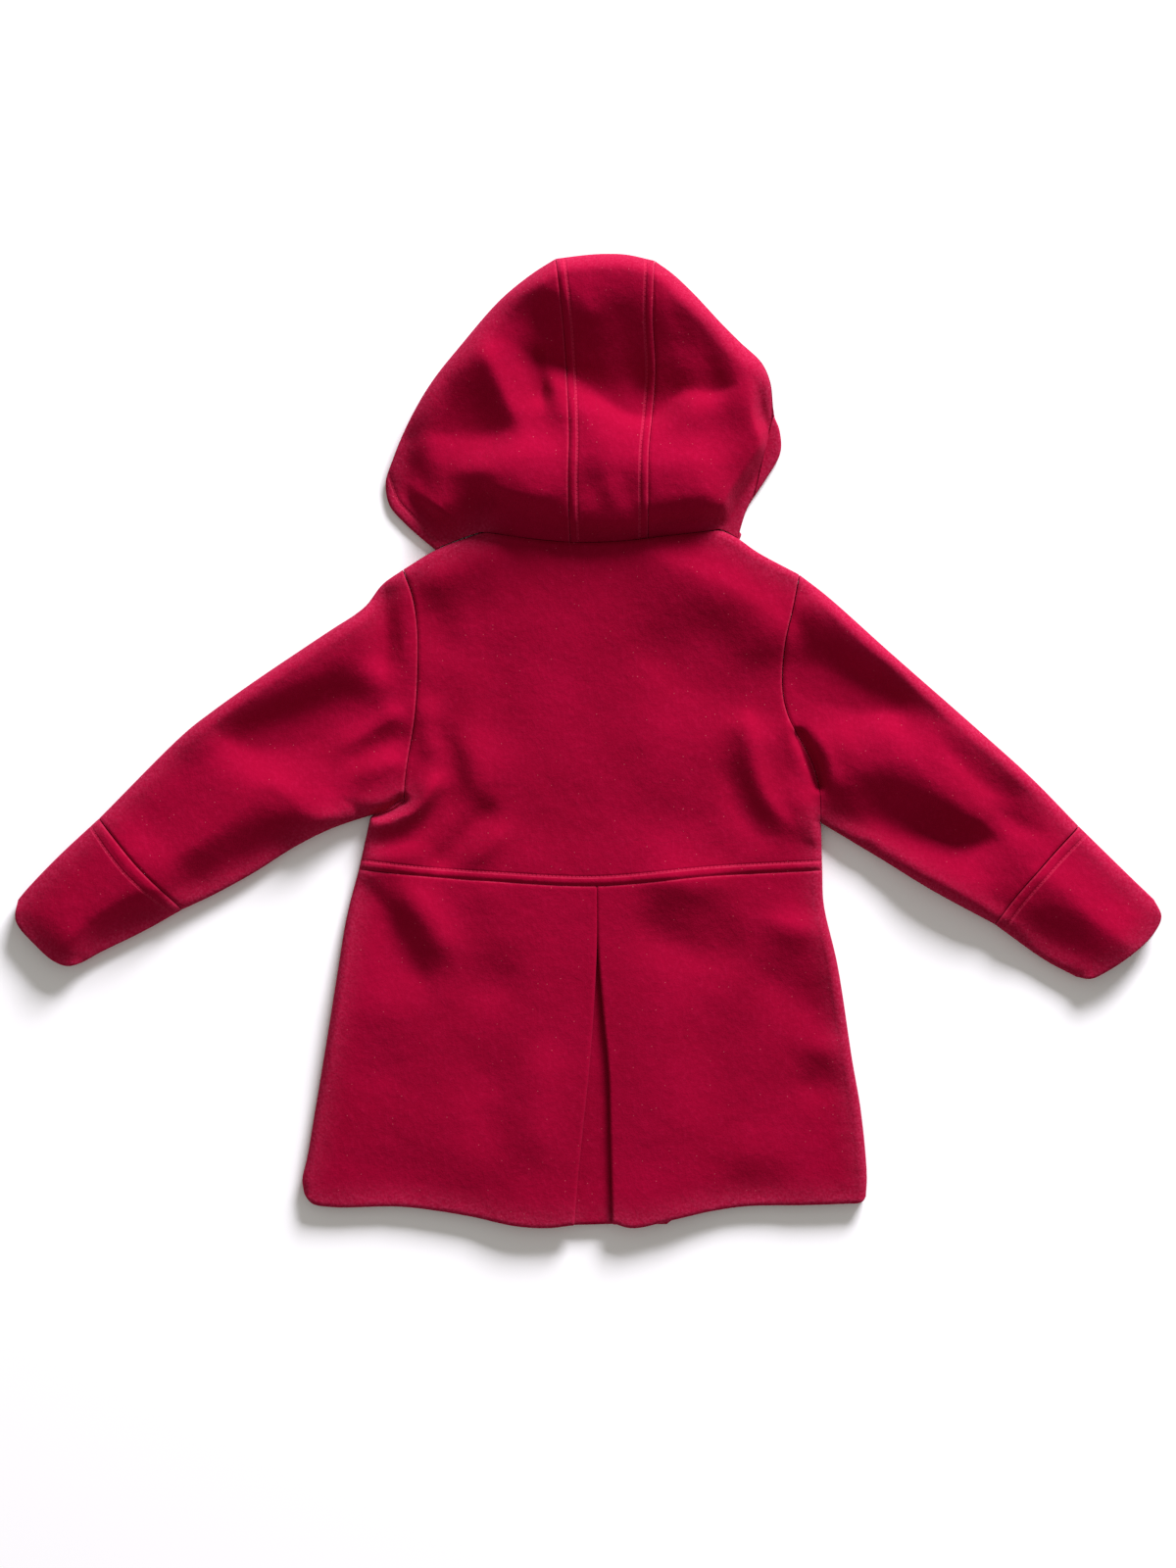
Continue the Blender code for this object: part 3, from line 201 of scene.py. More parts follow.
# ------------------------------------------------------------------- creases (mm)
# rise (a trough is negative), width on the left of the line, width on its right, roundness of its top,
# length of the fade at each end as a share of the line, and the line, with the side and place it marks
COAT_CREASES = [
    (8, 20, 20, 4, 0.15, 0.15, [(-168, 78), (-234, 32), (-300, -14)]),  # broad form 0
    (-7, 20, 20, 4, 0.15, 0.15, [(-146, 30), (-214, 17), (-282, 4)]),  # broad form 1
    (1.5, 24, 24, 4, 0.15, 0.15, [(-190, -40), (-245, -55), (-300, -70)]),  # broad form 2
    (5, 18, 18, 4, 0.15, 0.15, [(182, 84), (241, 32), (300, -20)]),  # broad form 3
    (-6.5, 18, 18, 4, 0.15, 0.15, [(150, 52), (191, 40), (232, 28)]),  # broad form 4
    (8, 20, 16, 4, 0.15, 0.15, [(190, 2), (240, -26), (290, -55)]),  # broad form 5
    (-2, 14, 14, 4, 0.15, 0.15, [(200, -48), (250, -69), (300, -90)]),  # broad form 6
    (-4, 9, 9, 4, 0.15, 0.15, [(-128, -40), (-139, -51), (-150, -62)]),  # broad form 7
    (-3, 8, 8, 4, 0.15, 0.15, [(158, -10), (164, -25), (170, -40)]),  # broad form 8
    (3, 12, 12, 4, 0.15, 0.15, [(118, 30), (126, 12), (134, -6)]),  # broad form 9
    (2.5, 14, 14, 4, 0.15, 0.15, [(-90, -60), (-98, -75), (-106, -90)]),  # broad form 10
    (13, 26, 16, 3, 0.2, 0.25, [(-144, 113), (-164, 96), (-189, 79), (-222, 57), (-251, 39), (-277, 18), (-303, -6)]),  # left sleeve: ridge top
    (-10.5, 32, 20, 1.5, 0.15, 0.25, [(-284, 18), (-272, 8), (-255, -1), (-226, -5), (-197, 4), (-171, 16), (-141, 31)]),  # left sleeve: valley A
    (-13, 9, 12, 1, 0.2, 0.3, [(-152, 121), (-151, 103), (-149, 83), (-148, 63), (-151, 41)]),  # left sleeve: vertical dent
    (2.5, 7, 7, 3, 0.3, 0.3, [(-138, 119), (-134, 94), (-133, 65), (-135, 40)]),  # left sleeve: vert ridge
    (5, 9, 6, 3, 0.3, 0.2, [(-191, -12), (-179, -2), (-159, 10), (-133, 24)]),  # left sleeve: R3
    (-5, 6, 8, 3, 0.3, 0.2, [(-179, -25), (-166, -12), (-148, -2), (-130, 7)]),  # left sleeve: V3
    (13, 22, 24, 1, 0.15, 0.05, [(-331, -108), (-311, -92), (-292, -80), (-268, -64), (-249, -48), (-235, -33)]),  # left sleeve: R4a
    (9, 14, 22, 1, 0.05, 0.3, [(-235, -33), (-223, -39), (-212, -49), (-197, -56), (-177, -57)]),  # left sleeve: R4b
    (0.5, 12, 12, 4, 0.3, 0.3, [(-243, -65), (-231, -54), (-216, -65)]),  # left sleeve: B dent
    (5, 9, 9, 2.5, 0.3, 0.15, [(-169, -32), (-160, -20), (-147, -16), (-134, -19)]),  # left sleeve: R5
    (-10.5, 26, 16, 3, 0.2, 0.25, [(-313, -120), (-285, -105), (-256, -91), (-223, -75), (-195, -65)]),  # left sleeve: low valley
    (2.5, 20, 20, 6, 0.3, 0.3, [(-346, -59), (-303, -36), (-259, -23), (-216, -18)]),  # left sleeve: mid ridge far
    (2, 6, 6, 2, 0.3, 0.1, [(-173, -51), (-159, -45), (-144, -41), (-134, -33)]),  # left sleeve: underarm
    (0.5, 14, 14, 5, 0.3, 0.3, [(-187, 40), (-164, 40), (-141, 47)]),  # left sleeve: cap
    (14.5, 15, 34, 1.5, 0.12, 0.2, [(-308, -95), (-324, -105), (-349, -118), (-365, -130), (-384, -147), (-398, -162)]),  # left cuff: ridge
    (-8, 22, 14, 3, 0.2, 0.2, [(-375, -159), (-351, -146), (-326, -131), (-305, -120)]),  # left cuff: seam low
    (8, 10, 18, 2.5, 0.15, 0.25, [(144, 92), (167, 99), (189, 90), (209, 75), (232, 54), (255, 36), (282, 13)]),  # right sleeve: ridge top
    (-10.5, 30, 20, 1.5, 0.12, 0.2, [(150, 47), (161, 39), (176, 31), (193, 26), (217, 24), (235, 30), (248, 39)]),  # right sleeve: valley A
    (-4, 12, 12, 4, 0.3, 0.3, [(153, 63), (170, 49), (191, 37), (213, 36)]),  # right sleeve: A dent
    (-2.5, 7, 8, 2.5, 0.3, 0.3, [(237, 27), (250, 20), (263, 8)]),  # right sleeve: small V
    (5, 8, 12, 2.5, 0.3, 0.3, [(258, 28), (288, 5), (314, -19), (335, -44)]),  # right sleeve: ridge 3
    (-5, 12, 14, 1.5, 0.25, 0.3, [(256, 3), (273, -19), (291, -35), (309, -41), (325, -36)]),  # right sleeve: valley 3
    (-4, 9, 12, 1.5, 0.3, 0.3, [(292, -46), (309, -58), (328, -68), (340, -67)]),  # right sleeve: valley 3b
    (10.5, 22, 12, 1, 0.12, 0.2, [(186, -32), (197, -23), (206, -15), (219, -16), (232, -13), (243, -23), (259, -36), (276, -49), (291, -62), (307, -71)]),  # right sleeve: ridge B
    (-6.5, 16, 12, 1.2, 0.2, 0.15, [(196, -51), (209, -55), (223, -61), (243, -68), (264, -72), (288, -73), (307, -72)]),  # right sleeve: valley B
    (-2.5, 10, 10, 4, 0.3, 0.3, [(219, -41), (245, -52), (270, -62)]),  # right sleeve: B dip
    (4, 16, 14, 5, 0.3, 0.3, [(180, 10), (219, 3), (259, -25), (297, -54)]),  # right sleeve: mid
    (-6.5, 5, 7, 1.5, 0.15, 0.2, [(153, 10), (160, -5), (167, -22), (171, -36)]),  # right sleeve: under gap
    (4, 8, 10, 2.5, 0.1, 0.3, [(170, -29), (184, -33), (204, -36)]),  # right sleeve: underarm dark
    (-4, 8, 8, 3, 0.1, 0.3, [(171, -55), (187, -58), (209, -67)]),  # right sleeve: underarm low
    (4, 6, 8, 2.5, 0.3, 0.2, [(160, 14), (170, -2), (177, -20), (181, -35)]),  # right sleeve: side of gap
    (4, 16, 12, 5, 0.3, 0.3, [(216, -92), (252, -104), (288, -122), (307, -133)]),  # right sleeve: low ridge
    (-2.5, 8, 8, 3, 0.3, 0.3, [(291, -113), (302, -121), (314, -127)]),  # right sleeve: seam dark
    (2.5, 12, 12, 4, 0.3, 0.3, [(304, -90), (324, -77), (345, -68)]),  # right sleeve: seam bright
    (13, 18, 34, 1.5, 0.1, 0.15, [(321, -95), (338, -105), (361, -126), (381, -141), (405, -159)]),  # right cuff: ridge
    (-6.5, 24, 16, 3, 0.2, 0.15, [(308, -128), (330, -141), (356, -154), (380, -159)]),  # right cuff: low
    (9, 16, 34, 4, 0.2, 0.2, [(29, 141), (65, 125), (101, 109), (137, 83), (153, 54)]),  # bodice: shoulder R
    (-8, 26, 16, 4, 0.3, 0.15, [(34, 83), (65, 52), (95, 33), (127, 21), (153, 11)]),  # bodice: valley R
    (-2.5, 18, 18, 6, 0.3, 0.3, [(65, 98), (101, 69), (137, 40)]),  # bodice: dark core
    (8, 8, 12, 3, 0.15, 0.3, [(109, 28), (117, 10), (121, -18), (131, -46), (155, -74)]),  # bodice: ridge diag
    (-5, 12, 8, 4, 0.3, 0.3, [(99, -7), (106, -32), (119, -58), (144, -81)]),  # bodice: valley diag
    (4, 8, 8, 4, 0.3, 0.3, [(148, -26), (158, -51), (165, -77)]),  # bodice: side bright R
    (4, 5, 7, 2, 0.3, 0.2, [(141, 26), (150, 0), (158, -20), (165, -36)]),  # bodice: gap lip
    (6.5, 12, 18, 4, 0.2, 0.3, [(-131, 108), (-110, 119), (-78, 136), (-43, 139)]),  # bodice: shoulder L
    (-5, 12, 12, 4, 0.3, 0.3, [(-115, 108), (-108, 83), (-107, 57)]),  # bodice: dent L1
    (1.5, 12, 12, 5, 0.3, 0.3, [(-88, 98), (-91, 62), (-88, 26)]),  # bodice: ridge L1
    (-5, 8, 8, 3, 0.3, 0.3, [(-115, 18), (-104, -3), (-97, -32), (-99, -54)]),  # bodice: dent L2
    (5, 9, 9, 3, 0.3, 0.3, [(-121, 36), (-117, 8), (-115, -18)]),  # bodice: ridge L2
    (5, 12, 12, 4, 0.3, 0.3, [(-88, 11), (-84, -25), (-72, -46)]),  # bodice: ridge L3
    (-4, 14, 14, 6, 0.3, 0.3, [(-68, 83), (-68, 33), (-63, -18)]),  # bodice: dent L4
    (9, 7, 6, 1.5, 0.05, 0.2, [(-161, -62), (-144, -59), (-130, -54), (-118, -41), (-108, -22)]),  # bodice: arc ridge
    (-6.5, 6, 8, 2.5, 0.1, 0.2, [(-159, -78), (-138, -74), (-121, -65), (-107, -48), (-97, -32)]),  # bodice: arc valley
    (-9, 6, 7, 2, 0.15, 0.12, [(-68, -48), (-81, -59), (-95, -74), (-111, -95)]),  # bodice: diag trough
    (5, 7, 7, 3, 0.3, 0.3, [(-58, -59), (-72, -77), (-89, -95)]),  # bodice: diag lip
    (5, 9, 9, 4, 0.3, 0.3, [(-161, -84), (-141, -84), (-118, -78)]),  # bodice: left waist
    (-1.5, 18, 18, 6, 0.3, 0.3, [(-87, -65), (-43, -62), (0, -72)]),  # bodice: mid waist
    (-2.5, 16, 16, 6, 0.3, 0.3, [(36, -65), (72, -62), (98, -69)]),  # bodice: mid waist R
    (-2.5, 40, 40, 10, 0.3, 0.3, [(-29, 112), (-7, 40), (0, -32)]),  # bodice: centre
    (4, 24, 24, 8, 0.3, 0.3, [(29, 26), (57, -18), (72, -54)]),  # bodice: centre R
    (-1.5, 10, 10, 4, 0.3, 0.3, [(55, -36), (72, -25), (88, -12)]),  # bodice: small R
    (-9, 8, 16, 2, 0.15, 0.3, [(-176, -104), (-161, -114), (-148, -128), (-137, -152), (-125, -173), (-112, -190)]),  # skirt: valley L
    (8, 12, 12, 4, 0.3, 0.3, [(-146, -103), (-127, -118), (-112, -141), (-99, -169)]),  # skirt: ridge L
    (-5, 14, 14, 4, 0.3, 0.3, [(-94, -176), (-72, -183), (-51, -165)]),  # skirt: valley L2
    (2.5, 12, 14, 5, 0.3, 0.3, [(-108, -108), (-87, -113), (-58, -111)]),  # skirt: ridge L2
    (-2.5, 16, 16, 6, 0.3, 0.3, [(-180, -241), (-151, -248), (-123, -234)]),  # skirt: dent L3
    (2.5, 16, 16, 6, 0.3, 0.3, [(-179, -200), (-150, -198), (-123, -205)]),  # skirt: ridge L3
    (4, 22, 22, 8, 0.3, 0.3, [(-94, -248), (-87, -284), (-94, -327)]),  # skirt: ridge L4
    (4, 14, 14, 6, 0.3, 0.3, [(-29, -219), (-38, -262), (-43, -320)]),  # skirt: bright pleat L
    (-2.5, 14, 14, 6, 0.3, 0.3, [(-63, -226), (-72, -270), (-72, -313)]),  # skirt: dent L5
    (-2.5, 14, 14, 5, 0.3, 0.3, [(-173, -317), (-147, -323), (-115, -317)]),  # skirt: hem L
    (6.5, 12, 14, 4, 0.3, 0.3, [(36, -103), (72, -105), (115, -104)]),  # skirt: ridge R1
    (-6.5, 14, 14, 4, 0.3, 0.3, [(29, -126), (65, -151), (101, -158), (126, -140)]),  # skirt: valley R1
    (6.5, 10, 14, 4, 0.3, 0.3, [(127, -133), (150, -139), (174, -141)]),  # skirt: ridge R2
    (-6.5, 12, 12, 4, 0.3, 0.3, [(124, -169), (144, -183), (173, -205)]),  # skirt: valley R2
    (-4, 10, 10, 3, 0.3, 0.3, [(148, -247), (170, -257), (191, -252)]),  # skirt: dent R3
    (4, 10, 10, 4, 0.3, 0.3, [(153, -224), (171, -228), (190, -224)]),  # skirt: ridge R3
    (-2.5, 12, 12, 5, 0.3, 0.3, [(93, -329), (122, -332), (153, -324)]),  # skirt: hem R
    (2.5, 14, 14, 5, 0.3, 0.3, [(93, -303), (124, -306), (154, -300)]),  # skirt: hem R2
    (2.5, 24, 24, 8, 0.3, 0.3, [(43, -169), (50, -234), (57, -306)]),  # skirt: bright R
    (-2.5, 20, 20, 8, 0.3, 0.3, [(86, -183), (93, -234), (101, -284)]),  # skirt: mid R
    (4, 10, 10, 4, 0.3, 0.3, [(177, -118), (181, -169), (191, -219)]),  # skirt: side R
    (2.5, 10, 10, 4, 0.3, 0.3, [(-179, -147), (-186, -205), (-195, -262)]),  # skirt: side L
]
HOOD_CREASES = [
    (15.5, 26, 30, 4, 0.15, 0.15, [(-90, 203), (10, 200), (110, 198)]),  # hood: broad form 0
    (21, 34, 44, 4, 0.15, 0.15, [(-60, 324), (-25, 332), (10, 337), (46, 334), (83, 322)]),  # hood: broad form 1
    (-2.5, 20, 16, 4, 0.15, 0.15, [(-60, 255), (10, 258), (80, 262)]),  # hood: broad form 2
    (5, 20, 20, 4, 0.15, 0.15, [(-118, 225), (-94, 262), (-70, 300)]),  # hood: broad form 3
    (8, 20, 20, 4, 0.15, 0.15, [(109, 242), (104, 265), (95, 290)]),  # hood: broad form 4
    (5, 14, 16, 4, 0.2, 0.2, [(-58, 322), (-43, 334), (-27, 341), (-7, 347), (17, 351), (37, 345), (55, 329), (72, 318), (92, 309), (109, 291)]),  # hood: top ridge
    (-13, 20, 9, 1.2, 0.1, 0.1, [(-52, 291), (-40, 283), (-25, 276), (-9, 268), (6, 257), (20, 246), (34, 239), (49, 240), (59, 250), (72, 257), (90, 257), (112, 263)]),  # hood: valley
    (-8, 12, 12, 4, 0.25, 0.25, [(-30, 328), (-33, 310), (-35, 292)]),  # hood: hollow 1
    (-5, 18, 18, 4, 0.25, 0.2, [(20, 335), (24, 306), (29, 276), (34, 252)]),  # hood: hollow 2
    (-4, 14, 14, 4, 0.25, 0.25, [(75, 291), (91, 279), (105, 266)]),  # hood: hollow 3
    (-4, 14, 14, 4, 0.25, 0.25, [(-3, 306), (0, 288), (7, 270)]),  # hood: hollow 12
    (2.5, 6, 6, 3, 0.3, 0.3, [(-4, 334), (-2, 319), (0, 304)]),  # hood: rib 12
    (1.5, 7, 7, 3, 0.3, 0.3, [(52, 324), (55, 306), (57, 291)]),  # hood: rib 23
    (9, 11, 12, 2, 0.2, 0.2, [(-79, 292), (-71, 273), (-62, 253), (-51, 227)]),  # hood: left ridge
    (-8, 5, 8, 1.5, 0.2, 0.25, [(-38, 286), (-35, 265), (-33, 242)]),  # hood: left groove
    (4, 7, 7, 2.5, 0.3, 0.3, [(-26, 273), (-22, 249), (-19, 227)]),  # hood: ridge by seam
    (-9, 26, 15, 1.5, 0.2, 0.2, [(-124, 234), (-108, 227), (-89, 227), (-72, 227), (-55, 224)]),  # hood: left valley
    (1.5, 16, 16, 4, 0.3, 0.3, [(-115, 266), (-101, 280), (-82, 292)]),  # hood: left dark ridge
    (-2, 20, 18, 4, 0.2, 0.2, [(-114, 239), (-91, 249), (-63, 239)]),  # hood: left dark dent
    (10.5, 20, 12, 3, 0.3, 0.15, [(-111, 198), (-97, 198), (-79, 198), (-62, 196), (-43, 190), (-27, 180), (-15, 170)]),  # hood: neck ridge L
    (4, 16, 10, 3, 0.2, 0.2, [(-20, 172), (0, 168), (20, 167), (37, 172)]),  # hood: neck ridge C
    (6.5, 18, 10, 2.5, 0.2, 0.2, [(29, 171), (49, 174), (69, 178), (88, 180), (104, 175)]),  # hood: neck ridge R
    (2.5, 6, 6, 2, 0.3, 0.2, [(11, 193), (16, 184), (17, 171)]),  # hood: neck V
    (-5, 4, 4, 1.2, 0.2, 0.15, [(49, 155), (66, 158), (85, 160), (104, 157)]),  # hood: neck fold R
    (-8, 4, 5, 1.2, 0.2, 0.1, [(-65, 180), (-71, 174), (-76, 165), (-79, 155)]),  # hood: neck fold L
    (4, 5, 6, 2, 0.2, 0.2, [(-29, 175), (-51, 180), (-66, 184), (-79, 183)]),  # hood: neck fold L2
    (-2, 8, 10, 1.5, 0.25, 0.2, [(-125, 207), (-123, 193), (-121, 178), (-117, 162)]),  # hood: fold border
    (2, 6, 6, 2, 0.25, 0.25, [(-143, 206), (-138, 187), (-127, 168)]),  # hood: brim L
    (-11.5, 12, 22, 4, 0.2, 0.25, [(-138, 238), (-137, 216), (-131, 194), (-118, 170)]),  # hood: left low
    (-4, 16, 14, 5, 0.3, 0.3, [(-115, 206), (-87, 210), (-53, 206)]),  # hood: bright L
    (8, 14, 14, 5, 0.3, 0.3, [(0, 256), (4, 227), (7, 198)]),  # hood: bright C
    (-1.5, 9, 9, 3, 0.3, 0.3, [(-4, 198), (3, 188), (9, 178)]),  # hood: dent C
    (-0.5, 12, 12, 4, 0.3, 0.3, [(65, 219), (83, 214), (102, 220)]),  # hood: dent R
    (4, 14, 14, 5, 0.3, 0.3, [(60, 246), (76, 247), (91, 244)]),  # hood: ridge R
    (2, 12, 12, 5, 0.3, 0.3, [(119, 256), (121, 227), (117, 198)]),  # hood: side R
    (-2.5, 9, 9, 4, 0.3, 0.3, [(109, 206), (108, 184), (105, 170)]),  # hood: side R2
    (2.5, 12, 12, 4, 0.3, 0.3, [(-94, 299), (-112, 270), (-127, 242)]),  # hood: left edge
    (2, 14, 14, 4, 0.3, 0.3, [(-58, 319), (-75, 299), (-88, 280)]),  # hood: left edge2
    (2.5, 12, 12, 5, 0.3, 0.3, [(-43, 341), (-58, 328), (-69, 315)]),  # hood: crown L
    (2.5, 12, 12, 5, 0.3, 0.3, [(65, 334), (86, 318), (106, 302)]),  # hood: crown R
]

# ------------------------------------------------------------------------ helpers
class Path:
    """A smooth line through the rows of a table, read by its share of the length."""

    def __init__(self, *tables, smooth=True):
        rows = []
        self.corners = [0.0]
        for table in tables:
            pts = np.array(table, float)
            line = self.through(pts) if smooth and len(pts) > 2 else pts
            rows.append(line if not rows else line[1:])
        lengths = [np.linalg.norm(np.diff(r, axis=0), axis=1).sum() for r in rows]
        self.line = np.vstack(rows)
        step = np.linalg.norm(np.diff(self.line, axis=0), axis=1)
        self.length = step.sum()
        self.at = np.concatenate([[0.0], np.cumsum(step)]) / self.length

    @staticmethod
    def through(pts, n=8):
        p = np.vstack([2 * pts[0] - pts[1], pts, 2 * pts[-1] - pts[-2]])
        out = []
        for i in range(1, len(p) - 2):
            p0, p1, p2, p3 = p[i - 1], p[i], p[i + 1], p[i + 2]
            d0 = max(np.linalg.norm(p1 - p0), 1e-6) ** 0.5
            d1 = max(np.linalg.norm(p2 - p1), 1e-6) ** 0.5
            d2 = max(np.linalg.norm(p3 - p2), 1e-6) ** 0.5
            m1 = (p2 - p1) + d1 * ((p1 - p0) / d0 - (p2 - p0) / (d0 + d1))
            m2 = (p2 - p1) + d1 * ((p3 - p2) / d2 - (p3 - p1) / (d1 + d2))
            for k in range(n):
                t = k / n
                a = 2 * t ** 3 - 3 * t ** 2 + 1
                b = t ** 3 - 2 * t ** 2 + t
                c = -2 * t ** 3 + 3 * t ** 2
                d = t ** 3 - t ** 2
                out.append(a * p1 + b * m1 + c * p2 + d * m2)
        out.append(p[-2])
        return np.array(out)

    def __call__(self, t):
        t = np.asarray(t, float)
        return np.stack([np.interp(t, self.at, self.line[:, 0]), np.interp(t, self.at, self.line[:, 1])], -1)

    def share_at(self, point):
        """The share of the length nearest to a point of the table."""
        i = np.argmin(np.linalg.norm(self.line - np.array(point), axis=1))
        return self.at[i]


def coons(low, up, left, right, u, v, at_left=None, at_right=None):
    """Plan points of a four-sided piece: u runs along low and up, v along left and right.

    at_left and at_right say where each row starts and ends, as shares of those sides.
    """
    U, V = u[:, None, None], v[None, :, None]
    a, b = low(u)[:, None], up(u)[:, None]
    c = left(v if at_left is None else at_left)[None]
    d = right(v if at_right is None else at_right)[None]
    c00, c10, c01, c11 = low(0.0), low(1.0), up(0.0), up(1.0)
    return ((1 - V) * a + V * b + (1 - U) * c + U * d
            - ((1 - U) * (1 - V) * c00 + U * (1 - V) * c10 + (1 - U) * V * c01 + U * V * c11))


def distance(p, line):
    """Distance in plan from points to a line through points."""
    a, b = line[:-1], line[1:]
    d = b - a
    ll = np.maximum((d * d).sum(1), 1e-12)
    out = np.full(p.shape[:-1], 1e9)
    for i in range(len(a)):
        t = np.clip(((p - a[i]) @ d[i]) / ll[i], 0, 1)
        q = a[i] + t[..., None] * d[i]
        out = np.minimum(out, np.linalg.norm(p - q, axis=-1))
    return out


def step(e0, e1, x):
    t = np.clip((np.asarray(x, float) - e0) / (e1 - e0), 0, 1)
    return t * t * (3 - 2 * t)


def roll(d, radius):
    """0 at a rolled edge, 1 from radius inward, round between."""
    t = np.clip(np.asarray(d, float) / radius, 0, 1)
    return np.sqrt(np.maximum(1 - (1 - t) ** 2, 0))


def folds(p, table):
    out = np.zeros(p.shape[:-1])
    for x0, y0, x1, y1, rise, half in table:
        out += rise * np.exp(-(distance(p, np.array([(x0, y0), (x1, y1)])) / half) ** 2)
    return out


def arm_rows(side, first):
    """Where the rows of a body piece meet its side and armhole, as shares of first + side + armhole.

    The rows on the armhole are the lines of the sleeve, so the two edges match.
    """
    if side == "left":
        path = P(*first, BODICE_SIDE_LEFT, ARMHOLE_LEFT[:3], ARMHOLE_LEFT_UPPER)
        arm = P(ARMHOLE_LEFT_UPPER)
        low = P(*first, BODICE_SIDE_LEFT).length
        stops = [low, low + 0.5 * P(ARMHOLE_LEFT[:3]).length]
    else:
        path = P(*first, BODICE_SIDE_RIGHT, ARMHOLE_RIGHT)
        arm = P(ARMHOLE_RIGHT)
        low = P(*first, BODICE_SIDE_RIGHT).length
        stops = [low - 14.0, low - 5.0]
    start = path.length - arm.length
    marks = rolled(SLEEVE_LINES, arm.length, SLEEVE_ROLL) * arm.length
    marks = np.insert(marks, len(marks) - 1, arm.length - 0.05)
    return path, np.concatenate([stops, start + marks]) / path.length


def rolled(n_in, width, radius):
    """Shares across a piece: close together on the rolled edges, even between."""
    edge = [radius * (1 - np.cos(a)) / width for a in np.radians([0, 35, 90])]
    mid = list(np.linspace(edge[-1], 1 - edge[-1], n_in + 1))
    return np.array(edge[:-1] + mid + [1 - e for e in edge[:-1]][::-1])


def near_line(p, line, reach):
    """For the points within reach of a line: which they are, signed distance (left side > 0), share of length."""
    flat = p.reshape(-1, 2)
    lo, hi = line.min(0) - reach, line.max(0) + reach
    pick = np.flatnonzero(((flat >= lo) & (flat <= hi)).all(1))
    q = flat[pick]
    best = np.full(len(q), 1e9)
    side = np.zeros(len(q))
    share = np.zeros(len(q))
    seg = np.linalg.norm(np.diff(line, axis=0), axis=1)
    at = np.concatenate([[0], np.cumsum(seg)])
    for i in range(len(line) - 1):
        a, d = line[i], line[i + 1] - line[i]
        ll = max(float(d @ d), 1e-12)
        t = np.clip((q - a) @ d / ll, 0, 1)
        r = q - a - t[:, None] * d
        dist = np.linalg.norm(r, axis=1)
        closer = dist < best
        best = np.where(closer, dist, best)
        side = np.where(closer, d[0] * r[:, 1] - d[1] * r[:, 0], side)
        share = np.where(closer, (at[i] + t * seg[i]) / at[-1], share)
    return pick, np.where(side < 0, -best, best), share


def crease(p, row):
    """Height of one crease: a chain of soft strokes along its line, each side with its own width."""
    rise, wide_l, wide_r, radius, fade0, fade1, points = row
    path = Path(points)
    out = np.zeros(p.shape[:-1])
    flat = p.reshape(-1, 2)
    far = 2.9 * max(wide_l, wide_r)
    lo, hi = path.line.min(0) - far, path.line.max(0) + far
    pick = np.flatnonzero(((flat >= lo) & (flat <= hi)).all(1))
    if not len(pick):
        return out
    q = flat[pick]
    n = int(np.clip(round(path.length / (0.55 * min(wide_l, wide_r) + 2.0)), 4, 22))
    t = (np.arange(n) + 0.5) / n
    at = path(t)
    run = path(np.minimum(t + 0.5 / n, 1)) - path(np.maximum(t - 0.5 / n, 0))
    run /= np.maximum(np.linalg.norm(run, axis=1), 1e-9)[:, None]
    sigma = 1.15 * path.length / n
    amp = step(0, fade0, t) * step(0, fade1, 1 - t) * rise / (1.15 * math.sqrt(math.pi))
    total = np.zeros(len(q))
    for c, (ux, uy), a in zip(at, run, amp):
        r = q - c
        s = r[:, 0] * ux + r[:, 1] * uy
        d = r[:, 1] * ux - r[:, 0] * uy
        w = np.where(d > 0, wide_l, wide_r)
        across = np.exp(-((np.hypot(d, radius) - radius) / w) ** 1.35)
        total += a * np.exp(-(s / sigma) ** 2) * np.maximum(across - 0.02, 0)
    out.reshape(-1)[pick] = total
    return out


def creases(p, table):
    out = np.zeros(p.shape[:-1])
    for row in table:
        out += crease(p, row)
    return out


def seams(p, table):
    out = np.zeros(p.shape[:-1])
    for points, rise, half in table:
        pick, d, _ = near_line(p, P(points).line, 3.5 * half)
        out.reshape(-1)[pick] += rise * np.exp(-(d / half) ** 2)
    return out


def grid_noise(p, size, seed):
    """Smooth noise in plan from -1 to 1, size in mm."""
    q = p / size + seed * 17.31
    i = np.floor(q).astype(np.int64)
    f = q - i
    f = f * f * f * (f * (f * 6 - 15) + 10)

    def at(a, b):
        h = (a * 374761393 + b * 668265263 + seed * 974634777) & 0xFFFFFFFF
        h = ((h ^ (h >> 13)) * 1274126177) & 0xFFFFFFFF
        return ((h ^ (h >> 16)) & 0xFFFF) / 32767.5 - 1.0

    x, y = i[..., 0], i[..., 1]
    a = at(x, y) * (1 - f[..., 0]) + at(x + 1, y) * f[..., 0]
    b = at(x, y + 1) * (1 - f[..., 0]) + at(x + 1, y + 1) * f[..., 0]
    return a * (1 - f[..., 1]) + b * f[..., 1]


def nap(p, seed):
    """The uneven surface of milled wool."""
    return (0.10 * grid_noise(p, 5.0, seed) + 0.13 * grid_noise(p, 11.0, seed + 1)
            + 0.22 * grid_noise(p, 27.0, seed + 2))


def within(h, low, high, soft=2.5, keep=0.22):
    """Heights kept softly between two levels."""
    over = soft * np.logaddexp(0, (h - high) / soft)
    under = soft * np.logaddexp(0, (low - h) / soft)
    return h - (1 - keep) * over + (1 - keep) * under


